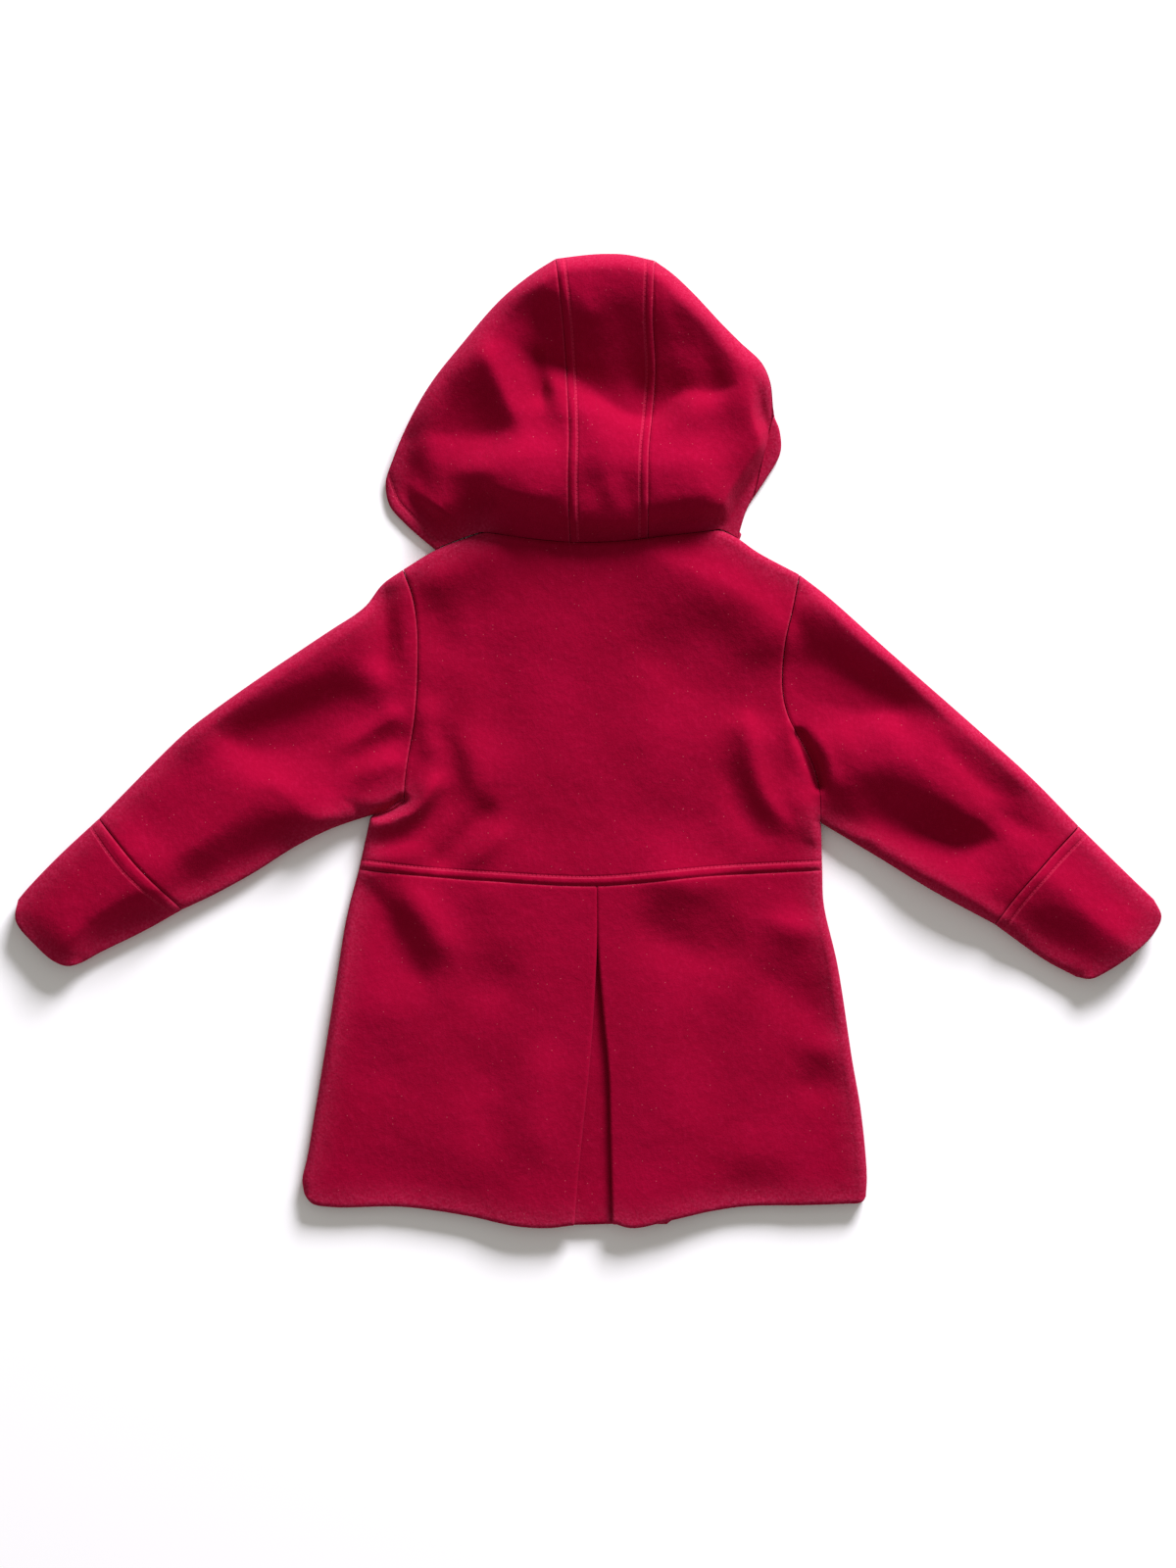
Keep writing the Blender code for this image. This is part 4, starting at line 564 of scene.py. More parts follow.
# ------------------------------------------------------------------- the coat's heights
P = Path
OUTLINES = [P(*t).line for t in (
    (SKIRT_LEFT,), (SKIRT_RIGHT,), (BODICE_SIDE_LEFT,), (BODICE_SIDE_RIGHT,), (SHOULDER_LEFT,), (SHOULDER_RIGHT,),
    (SLEEVE_LEFT_LOW,), (SLEEVE_LEFT_UP,), (SLEEVE_RIGHT_LOW,), (SLEEVE_RIGHT_UP,), (CUFF_LEFT_LOW,),
    (CUFF_LEFT_UP,), (CUFF_RIGHT_LOW,), (CUFF_RIGHT_UP,))]
CUFF_ENDS = [P(CUFF_LEFT_END).line, P(CUFF_RIGHT_END).line]
HEMS = [P(HEM_LEFT).line, P(HEM_RIGHT).line]


def reach_to(p, lines, far):
    """Distance in plan to the nearest of the lines, at most far."""
    out = np.full(p.shape[:-1], float(far))
    for line in lines:
        pick, d, _ = near_line(p, line, far)
        view = out.reshape(-1)
        view[pick] = np.minimum(view[pick], abs(d))
    return out


def to_outline(p):
    return reach_to(p, OUTLINES, 30.0)


def sleeve_share(p):
    """0 over the body, 1 over the sleeves."""
    left = step(-128, -168, p[..., 0]) * step(-62, -40, p[..., 1] + 0.0 * p[..., 0])
    left = np.maximum(left, step(-150, -185, p[..., 0]) * step(-140 - 60, -128 - 60, p[..., 1])
                      * step(-163, -175, p[..., 0]) * (p[..., 1] > -178))
    right = step(150, 190, p[..., 0]) * (p[..., 1] > -180)
    skirt = step(-70, -90, p[..., 1]) * step(-215, -205, p[..., 0]) * step(215, 205, p[..., 0])
    return np.clip(np.maximum(left, right) - skirt, 0, 1)


def coat_height(p):
    x, y = p[..., 0], p[..., 1]
    s = sleeve_share(p)
    h = BODY_H + (SLEEVE_H - BODY_H) * s
    pleat = (1 - step(50, 100, abs(x - PLEAT_X))) * step(-40, -95, y)
    h = h + (PLEAT_H - BODY_H) * pleat
    h = h - 0.9 * step(-315, -345, y) * (1 - pleat)
    ends = reach_to(p, CUFF_ENDS, 80.0)
    h = h - 4.5 * (1 - step(0, 75, ends))
    return h


def coat_gain(p):
    """1 where the creases stand in full, falling to 0 at the rolled outline."""
    e, r = edge_of(p)
    return roll(to_outline(p), r)


def edge_of(p):
    s = sleeve_share(p)
    return BODY_EDGE + (SLEEVE_EDGE - BODY_EDGE) * s, BODY_ROLL + (SLEEVE_ROLL - BODY_ROLL) * s


def coat_top(p, seed=3, fine=True):
    e, r = edge_of(p)
    h = within(coat_height(p) + creases(p, COAT_CREASES), 7.6, 24.0)
    if fine:
        deep = np.exp(-(reach_to(p, [P(UNDERARM_LEFT).line, P(UNDERARM_RIGHT).line], 15.0) / 4.5) ** 2)
        h = np.maximum(h + seams(p, SEAM_LINES), 6.2 - 1.6 * deep) + nap(p, seed)
        h = h - 1.3 * (1 - roll(reach_to(p, HEMS, 4.0), 2.6))
        h = h - 1.3 * (1 - roll(reach_to(p, CUFF_ENDS, 4.0), 2.6))
    return e + (h - e) * roll(to_outline(p), r)


def coat_low(p):
    e, r = edge_of(p)
    return e * (1 - roll(to_outline(p), e))


# ------------------------------------------------------------------- the hood's heights
NECK_H = 8.0
HOOD_LINE = P(HOOD_OUT_LEFT, HOOD_TOP).line
HOOD_LINE_R = P(HOOD_OUT_RIGHT).line


def hood_distance(p):
    return reach_to(p, [HOOD_LINE, HOOD_LINE_R], 60.0)


def hood_edge(p):
    rim = np.where(p[..., 0] < 15, 1 - step(180, 218, p[..., 1]), 1 - step(230, 272, p[..., 1]))
    return HOOD_EDGE + (HOOD_RIM - HOOD_EDGE) * rim, rim


def hood_top(p, seed=8, fine=True):
    x, y = p[..., 0], p[..., 1]
    d = hood_distance(p)
    e, rim = hood_edge(p)
    h = within(HOOD_H + creases(p, HOOD_CREASES), 9.0, 38.0)
    if fine:
        h = h + nap(p, seed)
    h = NECK_H + (h - NECK_H) * neck_share(p)
    body = e + (h - e) * roll(d, HOOD_ROLL)
    flat = 2 * HOOD_RIM
    brim = e + (flat - e) * roll(d, HOOD_RIM * 1.3)
    over = np.where(x < 15, step(14, 26, d), step(7, 18, d))
    low = brim + (np.maximum(h, flat) - flat) * over
    out = body * (1 - rim) + low * rim
    if fine:
        out = out + seams(p, HOOD_SEAM_LINES) * step(0, 3, d)
    return out


def neck_share(p):
    """0 on the neck seam and the shoulders, 1 above the fold that runs over them."""
    neck = p[..., 1] - np.interp(p[..., 0], [-112, -78, -45, -8, 23, 52, 84, 98, 110],
                                 [140, 153, 148.7, 145.6, 146.5, 149.6, 153, 155, 149])
    reach = np.interp(p[..., 0], [-120, -80, -50, -10, 30, 80, 110], [34, 34, 28, 15, 14, 18, 20])
    return step(0, reach, neck)


def hood_gain(p):
    d = hood_distance(p)
    _, rim = hood_edge(p)
    over = np.where(p[..., 0] < 15, step(14, 26, d), step(7, 18, d))
    return (roll(d, HOOD_ROLL) * (1 - rim) + over * rim) * neck_share(p)


def hood_low(p):
    e, rim = hood_edge(p)
    return e * (1 - roll(hood_distance(p), e * 1.3))


# ---------------------------------------------------------------------------- materials
def wool(name, colour, lighter, seed):
    """Milled wool with a brushed nap: cloudy colour, fine clumps of fibre, pale flecks, sunk stitches, with painted
    sheen on the outlines and painted highlight and shade at seams and stitches.
    """
    mat = bpy.data.materials.new(name)
    mat.use_nodes = True
    nt = mat.node_tree
    new, link = nt.nodes.new, nt.links.new
    bsdf = nt.nodes["Principled BSDF"]
    place = new('ShaderNodeTexCoord')
    shift = new('ShaderNodeMapping')
    shift.inputs['Location'].default_value = (seed * 0.37, seed * 0.11, seed * 0.23)
    link(place.outputs['Object'], shift.inputs['Vector'])

    def math_(op, a, b, clamp=False):
        n = new('ShaderNodeMath')
        n.operation, n.use_clamp = op, clamp
        for socket, value in zip(n.inputs, (a, b)):
            if isinstance(value, (int, float)):
                socket.default_value = value
            elif value is not None:
                link(value, socket)
        return n.outputs[0]

    def noise(scale, detail=3.0, rough=0.6, stretch=(1, 1, 1)):
        m = new('ShaderNodeMapping')
        m.inputs['Scale'].default_value = stretch
        link(shift.outputs[0], m.inputs['Vector'])
        n = new('ShaderNodeTexNoise')
        n.inputs['Scale'].default_value = scale
        n.inputs['Detail'].default_value = detail
        n.inputs['Roughness'].default_value = rough
        link(m.outputs[0], n.inputs['Vector'])
        return n.outputs['Fac']

    def span(value, a, b, c, d):
        n = new('ShaderNodeMapRange')
        n.clamp = True
        for k, x in zip(('From Min', 'From Max', 'To Min', 'To Max'), (a, b, c, d)):
            n.inputs[k].default_value = x
        link(value, n.inputs['Value'])
        return n.outputs[0]

    def mix(fac, a, b):
        n = new('ShaderNodeMix')
        n.data_type = 'RGBA'
        link(fac, n.inputs['Factor'])
        for k, value in ((6, a), (7, b)):
            if isinstance(value, tuple):
                n.inputs[k].default_value = (*value, 1.0)
            else:
                link(value, n.inputs[k])
        return n.outputs[2]

    def attribute(key):
        n = new('ShaderNodeAttribute')
        n.attribute_name = key
        return n.outputs['Fac']

    deep = tuple(c * k for c, k in zip(colour, (0.84, 0.8, 0.78)))
    clouds = noise(16.0, 2.0, 0.5)
    base = mix(span(clouds, 0.3, 0.7, 0.0, 1.0), deep, colour)
    # tufts of fibre, brushed towards the hem
    tufts = noise(330.0, 4.0, 0.72, (1.0, 0.62, 1.0))
    base = mix(span(tufts, 0.50, 0.72, 0.0, 0.34), base, lighter)
    base = mix(span(tufts, 0.47, 0.30, 0.0, 0.45), base, deep)
    # painted sheen: along the outlines the nap is mixed paler and pinker, standing in for the light its fibres catch
    # where the cloth rolls over
    rim = attribute("rim")
    rim_sheen_mask = math_('MULTIPLY', math_('POWER', rim, 2.2), span(noise(520.0, 3.0, 0.7), 0.42, 0.66, 0.15, 0.75))
    base = mix(math_('MULTIPLY', rim_sheen_mask, 0.75), base, (0.42, 0.034, 0.092))
    # pale flecks
    cells = new('ShaderNodeTexVoronoi')
    cells.inputs['Scale'].default_value = 300.0
    link(shift.outputs[0], cells.inputs['Vector'])
    parts = new('ShaderNodeSeparateColor')
    link(cells.outputs['Color'], parts.inputs[0])
    fleck = math_('MULTIPLY', math_('LESS_THAN', cells.outputs['Distance'], 0.10), math_('GREATER_THAN', parts.outputs[0], 0.86))
    base = mix(math_('MULTIPLY', fleck, 0.45), base, (0.55, 0.13, 0.17))
    # a row of sunk stitches: painted shade darkens the groove round it, and the thread has its own darker colour
    d = math_('ABSOLUTE', attribute("stitch_d"), None)
    s = math_('FRACT', math_('MULTIPLY', attribute("stitch_s"), 1 / 2.9), None)
    along = math_('MULTIPLY', span(s, 0.06, 0.16, 0.0, 1.0), span(s, 0.94, 0.84, 0.0, 1.0))
    thread = math_('MULTIPLY', span(d, 0.62, 0.36, 0.0, 1.0), along)
    groove = span(d, 1.5, 0.2, 0.0, 1.0)
    base = mix(math_('MULTIPLY', groove, 0.35), base, deep)
    base = mix(math_('MULTIPLY', thread, 0.75), base, (0.36, 0.012, 0.045))
    # painted highlight: the ditches of seams and stitch rows are mixed paler, in patches, along the edge that faces the
    # light
    highlight_patches = span(noise(420.0, 2.0, 0.6), 0.36, 0.58, 0.35, 1.0)
    for key, at, half in (("stitch_d", 0.95, 0.62), ("seam_d", 0.95, 0.75)):
        off = math_('ABSOLUTE', math_('SUBTRACT', attribute(key), at), None)
        pale = math_('MULTIPLY', span(off, half, 0.15, 0.0, 1.0), highlight_patches)
        base = mix(math_('MULTIPLY', pale, 0.24), base, (0.50, 0.045, 0.100))
    link(base, bsdf.inputs['Base Color'])
    bsdf.inputs['Roughness'].default_value = 0.96
    bsdf.inputs['Specular IOR Level'].default_value = 0.02
    bsdf.inputs['Sheen Weight'].default_value = 0.10
    bsdf.inputs['Sheen Roughness'].default_value = 0.45
    bsdf.inputs['Sheen Tint'].default_value = (1.0, 0.10, 0.26, 1.0)
    # bump: tufts, single fibres, the stitch row
    fibres = noise(1500.0, 3.0, 0.75, (1.0, 0.45, 1.0))
    lumps = noise(130.0, 3.0, 0.6)
    height = math_('ADD', math_('MULTIPLY', tufts, 0.00052), math_('MULTIPLY', fibres, 0.00020))
    height = math_('ADD', height, math_('MULTIPLY', lumps, 0.00055))
    height = math_('SUBTRACT', height, math_('MULTIPLY', groove, 0.00030))
    height = math_('ADD', height, math_('MULTIPLY', thread, 0.00022))
    bump = new('ShaderNodeBump')
    bump.inputs['Strength'].default_value = 0.75
    bump.inputs['Distance'].default_value = 1.0
    link(height, bump.inputs['Height'])
    link(bump.outputs[0], bsdf.inputs['Normal'])
    return mat


WOOL = {
    "wool_body": wool("wool_body", (0.262, 0.0012, 0.0222), (0.330, 0.0042, 0.038), 1),
    "wool_sleeve": wool("wool_sleeve", (0.268, 0.0012, 0.0230), (0.335, 0.0042, 0.039), 2),
    "wool_hood": wool("wool_hood", (0.264, 0.0012, 0.0226), (0.332, 0.0042, 0.039), 3),
}


# ------------------------------------------------------------------------- mesh makers
ROOT = bpy.data.collections.new("hooded_coat_cloth")
bpy.context.scene.collection.children.link(ROOT)

NEAR_SEAM = [0, .3, .7, 1.2, 1.8, 2.5, 3.3, 4.2, 5.0, 5.7, 6.3, 6.9, 7.6, 8.4, 9.4, 10.8, 12.4]


def roll_marks(radius, n=9):
    return [radius * (1 - math.cos(math.radians(a))) for a in np.linspace(0, 90, n)]


def marks(length, pitch, first, last):
    """Shares along a side: close together where asked at both ends, even between."""
    a = np.array(first, float)
    b = length - np.array(last, float)[::-1]
    n = max(2, int(round((b[0] - a[-1]) / pitch)))
    return np.concatenate([a, np.linspace(a[-1], b[0], n + 1)[1:-1], b]) / length


def up(plan, z):
    return np.concatenate([plan, np.asarray(z)[..., None]], -1)


# seams whose edge facing the light gets a painted highlight in the wool
HIGHLIGHT_SEAMS = [WAIST, CUFF_LEFT_SEAM, CUFF_RIGHT_SEAM, HOOD_SEAM_LEFT, HOOD_SEAM_RIGHT, ARMHOLE_LEFT[2:], ARMHOLE_RIGHT[1:]]


def lit_side(path):
    """1 where the lit edge of a ditch, which gets a painted highlight, lies on the left of the line, -1 where it lies
    on the right.
    """
    run = path.line[-1] - path.line[0]
    return 1.0 if -run[1] * 0.41 + run[0] * 0.91 < 0 else -1.0


def shell(name, node, slot, grid, ring=False, offset=-1.0, stitches=(), wall=WALL):
    """A thin shell of cloth through a dense grid of points, with its stitch lines kept as distances."""
    nu, nv = grid.shape[:2]
    flat = grid.reshape(-1, 3)
    a = np.arange(nu * nv).reshape(nu, nv)
    b = np.roll(a, -1, 0) if ring else a[1:]
    a0 = a if ring else a[:-1]
    faces = np.stack([a0[:, :-1], b[:, :-1], b[:, 1:], a0[:, 1:]], -1).reshape(-1, 4)
    mesh = bpy.data.meshes.new(name)
    world = (flat + (SHIFT_X, SHIFT_Y, 0)) * MM
    mesh.from_pydata(world.tolist(), [], faces.tolist())
    stitch_d = np.full(len(flat), 30.0)
    stitch_s = np.zeros(len(flat))
    # stitch_d and seam_d are signed to be positive on the lit side, where the painted highlight goes
    for line in stitches:
        path = P(line)
        pick, d, t = near_line(flat[:, :2], path.line, 14.0)
        closer = abs(d) < abs(stitch_d[pick])
        stitch_d[pick[closer]] = d[closer] * lit_side(path)
        stitch_s[pick[closer]] = t[closer] * path.length
    seam_d = np.full(len(flat), 30.0)
    for line in HIGHLIGHT_SEAMS:
        path = P(line)
        pick, d, t = near_line(flat[:, :2], path.line, 10.0)
        closer = abs(d) < abs(seam_d[pick])
        seam_d[pick[closer]] = d[closer] * lit_side(path)
    rim = 1 - np.clip(reach_to(flat[:, :2], OUTLINES + [HOOD_LINE, HOOD_LINE_R] + HEMS + CUFF_ENDS, 26.0) / 26.0, 0, 1)
    for key, values in (("stitch_d", stitch_d), ("stitch_s", stitch_s), ("seam_d", seam_d), ("rim", rim)):
        layer = mesh.attributes.new(key, 'FLOAT', 'POINT')
        layer.data.foreach_set("value", values.astype(np.float32))
    mesh.update()
    obj = bpy.data.objects.new(name, mesh)
    ROOT.objects.link(obj)
    mesh.materials.append(WOOL[slot])
    solid = obj.modifiers.new("wall", 'SOLIDIFY')
    solid.thickness = wall * MM
    solid.offset = offset
    solid.use_even_offset = False
    solid.use_quality_normals = True
    dg = bpy.context.evaluated_depsgraph_get()
    made = bpy.data.meshes.new_from_object(obj.evaluated_get(dg), preserve_all_data_layers=True, depsgraph=dg)
    obj.modifiers.clear()
    obj.data = made
    made.name = name
    co = np.zeros(len(made.vertices) * 3, np.float32)
    made.vertices.foreach_get("co", co)
    co = co.reshape(-1, 3)
    # at the two corners of the hood's crown the inner side of the wall stays behind the outer side
    if node.startswith("hood") and len(co) == 2 * len(flat):
        outer, inner = co[:len(flat)], co[len(flat):]
        for line in (HOOD_SEAM_LEFT, HOOD_SEAM_RIGHT):
            far = np.linalg.norm(flat[:, :2] - P(line)(1.0), axis=1)
            keep = np.clip(2 - far / 3.5, 0, 1)[:, None]
            inner[:, :2] += keep * (outer[:, :2] - inner[:, :2] - (0, 1.2 * MM))
    # nothing sinks into the floor
    co[:, 2] = np.maximum(co[:, 2], 0.0)
    made.vertices.foreach_set("co", co.reshape(-1))
    made.update()
    made.shade_smooth()
    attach(obj, "root")
    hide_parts(node)
    return obj


# ------------------------------------------------------------------------------ pieces
def tube(node, slot, low, top, start, end, radius, pitch, first, last, stitches):
    """A sleeve or cuff: full above, flat on the floor below."""
    roll_q = roll_marks(radius)
    q = marks(start.length, pitch, roll_q, roll_q)
    s = marks(low.length, pitch, first, last)
    s = (SEAM + s * (low.length - 2 * SEAM)) / low.length
    plan = coons(start, end, low, top, q, s)
    zt = coat_top(plan)
    e, _ = edge_of(plan)
    for k in (0, -1):
        zt[k] = e[k]
    qu = marks(start.length, 4.5, roll_q[1:], roll_q[1:])
    under = coons(start, end, low, top, qu, s)
    zl = coat_low(under)
    ring = np.concatenate([up(plan, zt), up(under[::-1], zl[::-1])], 0)
    ring = ring if node.endswith("left") else ring[::-1]
    return shell(node + "_cloth", node, slot, ring, ring=True, stitches=stitches)


def side_marks(side, first, pitch):
    """The path up a body piece's side and armhole, with the lengths in mm of its side and of its armhole."""
    if side == "left":
        path = P(*first, BODICE_SIDE_LEFT, ARMHOLE_LEFT[:3], ARMHOLE_LEFT_UPPER)
        arm = P(ARMHOLE_LEFT_UPPER).length
    else:
        path = P(*first, BODICE_SIDE_RIGHT, ARMHOLE_RIGHT)
        arm = P(ARMHOLE_RIGHT).length
    return path, path.length - arm, arm


def back_bodice():
    path_l, low_l, arm_l = side_marks("left", (), 2.2)
    path_r, low_r, arm_r = side_marks("right", (), 2.2)
    low = P(WAIST)
    top = P(SHOULDER_LEFT, NECK, SHOULDER_RIGHT)
    nl, nr = top.share_at(NECK[0]), top.share_at(NECK[-1])
    n_low, n_arm = 15, 82
    rows = []
    for path, low_len, arm_len in ((path_l, low_l, arm_l), (path_r, low_r, arm_r)):
        fine = [m for m in NEAR_SEAM]
        part = np.concatenate([fine, np.linspace(fine[-1], low_len, n_low + 1)[1:]])
        # the armhole closes in small steps on the shoulder's roll
        arm = np.concatenate([np.linspace(0, arm_len - 12, n_arm)[1:], arm_len - np.array(roll_marks(12, 12))[::-1][1:]])
        at = np.concatenate([part, low_len + arm])
        at[0] = 0.6 * SEAM
        rows.append(at / path.length)
    at_l, at_r = rows
    v = 0.5 * (at_l + at_r)
    edge = roll_marks(BODY_ROLL, 8)
    u = marks(low.length, 2.3, edge + [7.4, 8.6, 10.0], edge + [7.4, 8.6, 10.0])
    plan = coons(low, top, path_l, path_r, u, v, at_l, at_r)
    z = coat_top(plan)
    edge_z, _ = edge_of(plan)
    on_shoulder = (u <= nl) | (u >= nr)
    k = n_low + len(NEAR_SEAM)
    z[[0, -1], :k] = edge_z[[0, -1], :k] + EDGE_GAP
    z[on_shoulder, -1] = edge_z[on_shoulder, -1] + EDGE_GAP
    plan[:2, k - 1:, 0] += SEAM + 0.05
    plan[-2:, k - 1:, 0] -= SEAM + 0.05
    plan[~on_shoulder, -2:, 1] -= 0.25
    # the neck edge turns down into the hood's seam
    neck_d = reach_to(plan, [P(NECK).line], 6.0)
    z -= np.where(np.ones_like(z, bool), 1.6 * np.exp(-(neck_d / 1.6) ** 2), 0) * (~on_shoulder)[:, None]
    return shell("back_bodice_cloth", "back_bodice", "wool_body", up(plan, z), stitches=[WAIST_STITCH])


def back_skirt():
    """The pleat's layers follow one another in each row: flap, return, bed, return, flap."""
    waist, hem_l, hem_r = P(WAIST), P(HEM_LEFT), P(HEM_RIGHT)
    side_l, side_r = P(SKIRT_LEFT), P(SKIRT_RIGHT)
    flap_l, flap_r = P(FLAP_LEFT), P(FLAP_RIGHT)
    v = marks(side_l.length, 2.4, NEAR_SEAM, [0, .2, .6, 1.1, 1.8, 2.7, 3.8, 5.2])
    v[0] = 0.6 * SEAM / side_l.length
    wl = Path(waist(np.linspace(0, waist.share_at((6.5, -106.9)), 20)), smooth=False)
    wr = Path(waist(np.linspace(waist.share_at((6.5, -106.9)), 1, 20)), smooth=False)
    wl.line[-1, 0] = 6.2
    wr.line[0, 0] = 6.8
    edge = roll_marks(BODY_ROLL, 8) + [7.4, 8.6, 10.0]
    ul = marks(wl.length, 2.4, edge, [2.4, 3.2, 4.2, 5.4, 7.0])
    ur = marks(wr.length, 2.4, [2.4, 3.2, 4.2, 5.4, 7.0], edge)
    left = coons(wl, hem_l, side_l, flap_l, ul, v)
    right = coons(wr, hem_r, flap_r, side_r, ur, v)
    half = WALL / 2
    zl_all, zr_all = coat_top(left), coat_top(right)
    zl_all[0] = edge_of(left[:1])[0][0] + EDGE_GAP
    zr_all[-1] = edge_of(right[-1:])[0][0] + EDGE_GAP
    turn = np.radians(np.linspace(0, 180, 10))
    rows = []
    for j, t in enumerate(v):
        mid_l, mid_r = left[:, j], right[:, j]
        depth = PLEAT_IN_TOP + (PLEAT_IN_HEM - PLEAT_IN_TOP) * t
        flap_xl, flap_yl = flap_l(t)
        flap_xr, flap_yr = flap_r(t)
        xl, xr = flap_xl - PLEAT_FOLD - 0.15, flap_xr + PLEAT_FOLD + 0.15
        zt_l, zt_r = zl_all[-1, j], zr_all[0, j]
        bed = 0.5 * (zt_l + zt_r)

        row_x = np.concatenate([mid_l[:, 0], mid_r[:, 0]])
        row_y = np.concatenate([mid_l[:, 1], mid_r[:, 1]])

        def hem_y(x):
            hidden = step(1.0, 6.0, np.maximum(flap_xl - x, x - flap_xr))
            return np.interp(x, row_x, row_y) + 1.4 * hidden * t ** 8

        pts = []
        inset = half * np.maximum(0.0, 1 - np.arange(len(mid_l)) / 9.0)
        drop = half - inset
        drop[0] = 0
        pts += [(x + i, y, z - d) for (x, y), z, i, d in zip(mid_l, zl_all[:, j], inset, drop)]
        top_l, top_r = zt_l - half, zt_r - half
        pts += [(xl + PLEAT_FOLD * math.sin(r), hem_y(xl), top_l - PLEAT_FOLD * (1 - math.cos(r))) for r in turn]
        z2 = bed - half - 2 * PLEAT_FOLD
        inner = xl - depth
        pts += [(xl + f * (inner - xl), hem_y(xl), z2 + (top_l - 2 * PLEAT_FOLD - z2) * (1 - f)) for f in (.12, .3, .6, .85)]
        pts += [(inner - PLEAT_FOLD * math.sin(r), hem_y(inner), z2 - PLEAT_FOLD * (1 - math.cos(r))) for r in turn[::3]]
        z3 = z2 - 2 * PLEAT_FOLD
        outer = xr + depth
        pts += [(inner + f * (outer - inner), hem_y(inner + f * (outer - inner)), z3) for f in np.linspace(.06, .94, 22)]
        pts += [(outer + PLEAT_FOLD * math.sin(r), hem_y(outer), z2 - PLEAT_FOLD * (1 - math.cos(r))) for r in turn[::-3]]
        pts += [(xr + f * (outer - xr), hem_y(xr), z2 + (top_r - 2 * PLEAT_FOLD - z2) * (1 - f)) for f in (.85, .6, .3, .12)]
        pts += [(xr - PLEAT_FOLD * math.sin(r), hem_y(xr), top_r - PLEAT_FOLD * (1 - math.cos(r))) for r in turn[::-1]]
        inset = half * np.maximum(0.0, 1 - np.arange(len(mid_r))[::-1] / 9.0)
        drop = half - inset
        drop[-1] = 0
        pts += [(x - i, y, z - d) for (x, y), z, i, d in zip(mid_r, zr_all[:, j], inset, drop)]
        rows.append(np.array(pts))
    grid = np.array(rows).transpose(1, 0, 2)
    return shell("back_skirt_cloth", "back_skirt", "wool_body", grid[:, ::-1], offset=0.0)


def front(side):
    """One front, shoulder to hem, flat on the floor, with its edge past the centre."""
    sign = -1 if side == "left" else 1
    hem = P(HEM_LEFT, [(-10.8, -355.3), (18.7, -353.9)], HEM_RIGHT)
    shoulder = SHOULDER_LEFT if side == "left" else SHOULDER_RIGHT[::-1]
    skirt = SKIRT_LEFT if side == "left" else SKIRT_RIGHT
    x_edge = PLEAT_X - sign * OVERLAP
    neck = [p for p in (NECK if side == "left" else NECK[::-1])]
    neck = [p for p in neck if sign * p[0] > sign * x_edge + 4]
    y_neck = float(np.interp(x_edge, [p[0] for p in NECK], [p[1] for p in NECK]))
    neck = neck + [(x_edge, y_neck)]
    line = hem.line
    share = hem.at[np.argmin(abs(line[:, 0] - x_edge))]
    span = np.linspace(0, share, 40) if side == "left" else np.linspace(1, share, 40)
    low = Path(hem(span), smooth=False)
    top = P(shoulder, neck)
    outer, low_len, arm_len = side_marks(side, (skirt[::-1],), 4.0)
    inner = Path([tuple(low(1.0)), (x_edge, y_neck)], smooth=False)
    n_sh = top.share_at(shoulder[-1])
    u = marks(230.0, 4.5, roll_marks(BODY_EDGE, 7), [0, .4, 1.0, 2.0, 3.4])
    side_rows = np.concatenate([[0, .4, 1.0, 2.0, 3.4], np.linspace(3.4, low_len, 62)[1:]])
    arm_rows_ = np.concatenate([np.linspace(0, arm_len - 8, 38)[1:], arm_len - np.array(roll_marks(8, 8))[::-1][1:]])
    at = np.concatenate([side_rows, low_len + arm_rows_]) / outer.length
    plan = coons(low, top, outer, inner, u, at, at)
    z = coat_low(plan)
    edge_z, _ = edge_of(plan)
    k = len(side_rows)
    z[0, :k] = edge_z[0, :k] - EDGE_GAP
    on_sh = u <= n_sh
    z[on_sh, -1] = edge_z[on_sh, -1] - EDGE_GAP
    plan[:2, k - 1:, 0] -= sign * (SEAM + 0.05)
    plan[~on_sh, -1, 1] += 0.8
    z = z + 0.5 * np.maximum(0, creases(plan, UNDER_CREASES))
    if side == "left":
        z = z + LAYER * step(RISE_AT[0], RISE_AT[1], u)[:, None]
    grid = up(plan, z)
    return shell("front_%s_cloth" % side, "front_" + side, "wool_body", grid[:, ::-1] if side == "left" else grid)


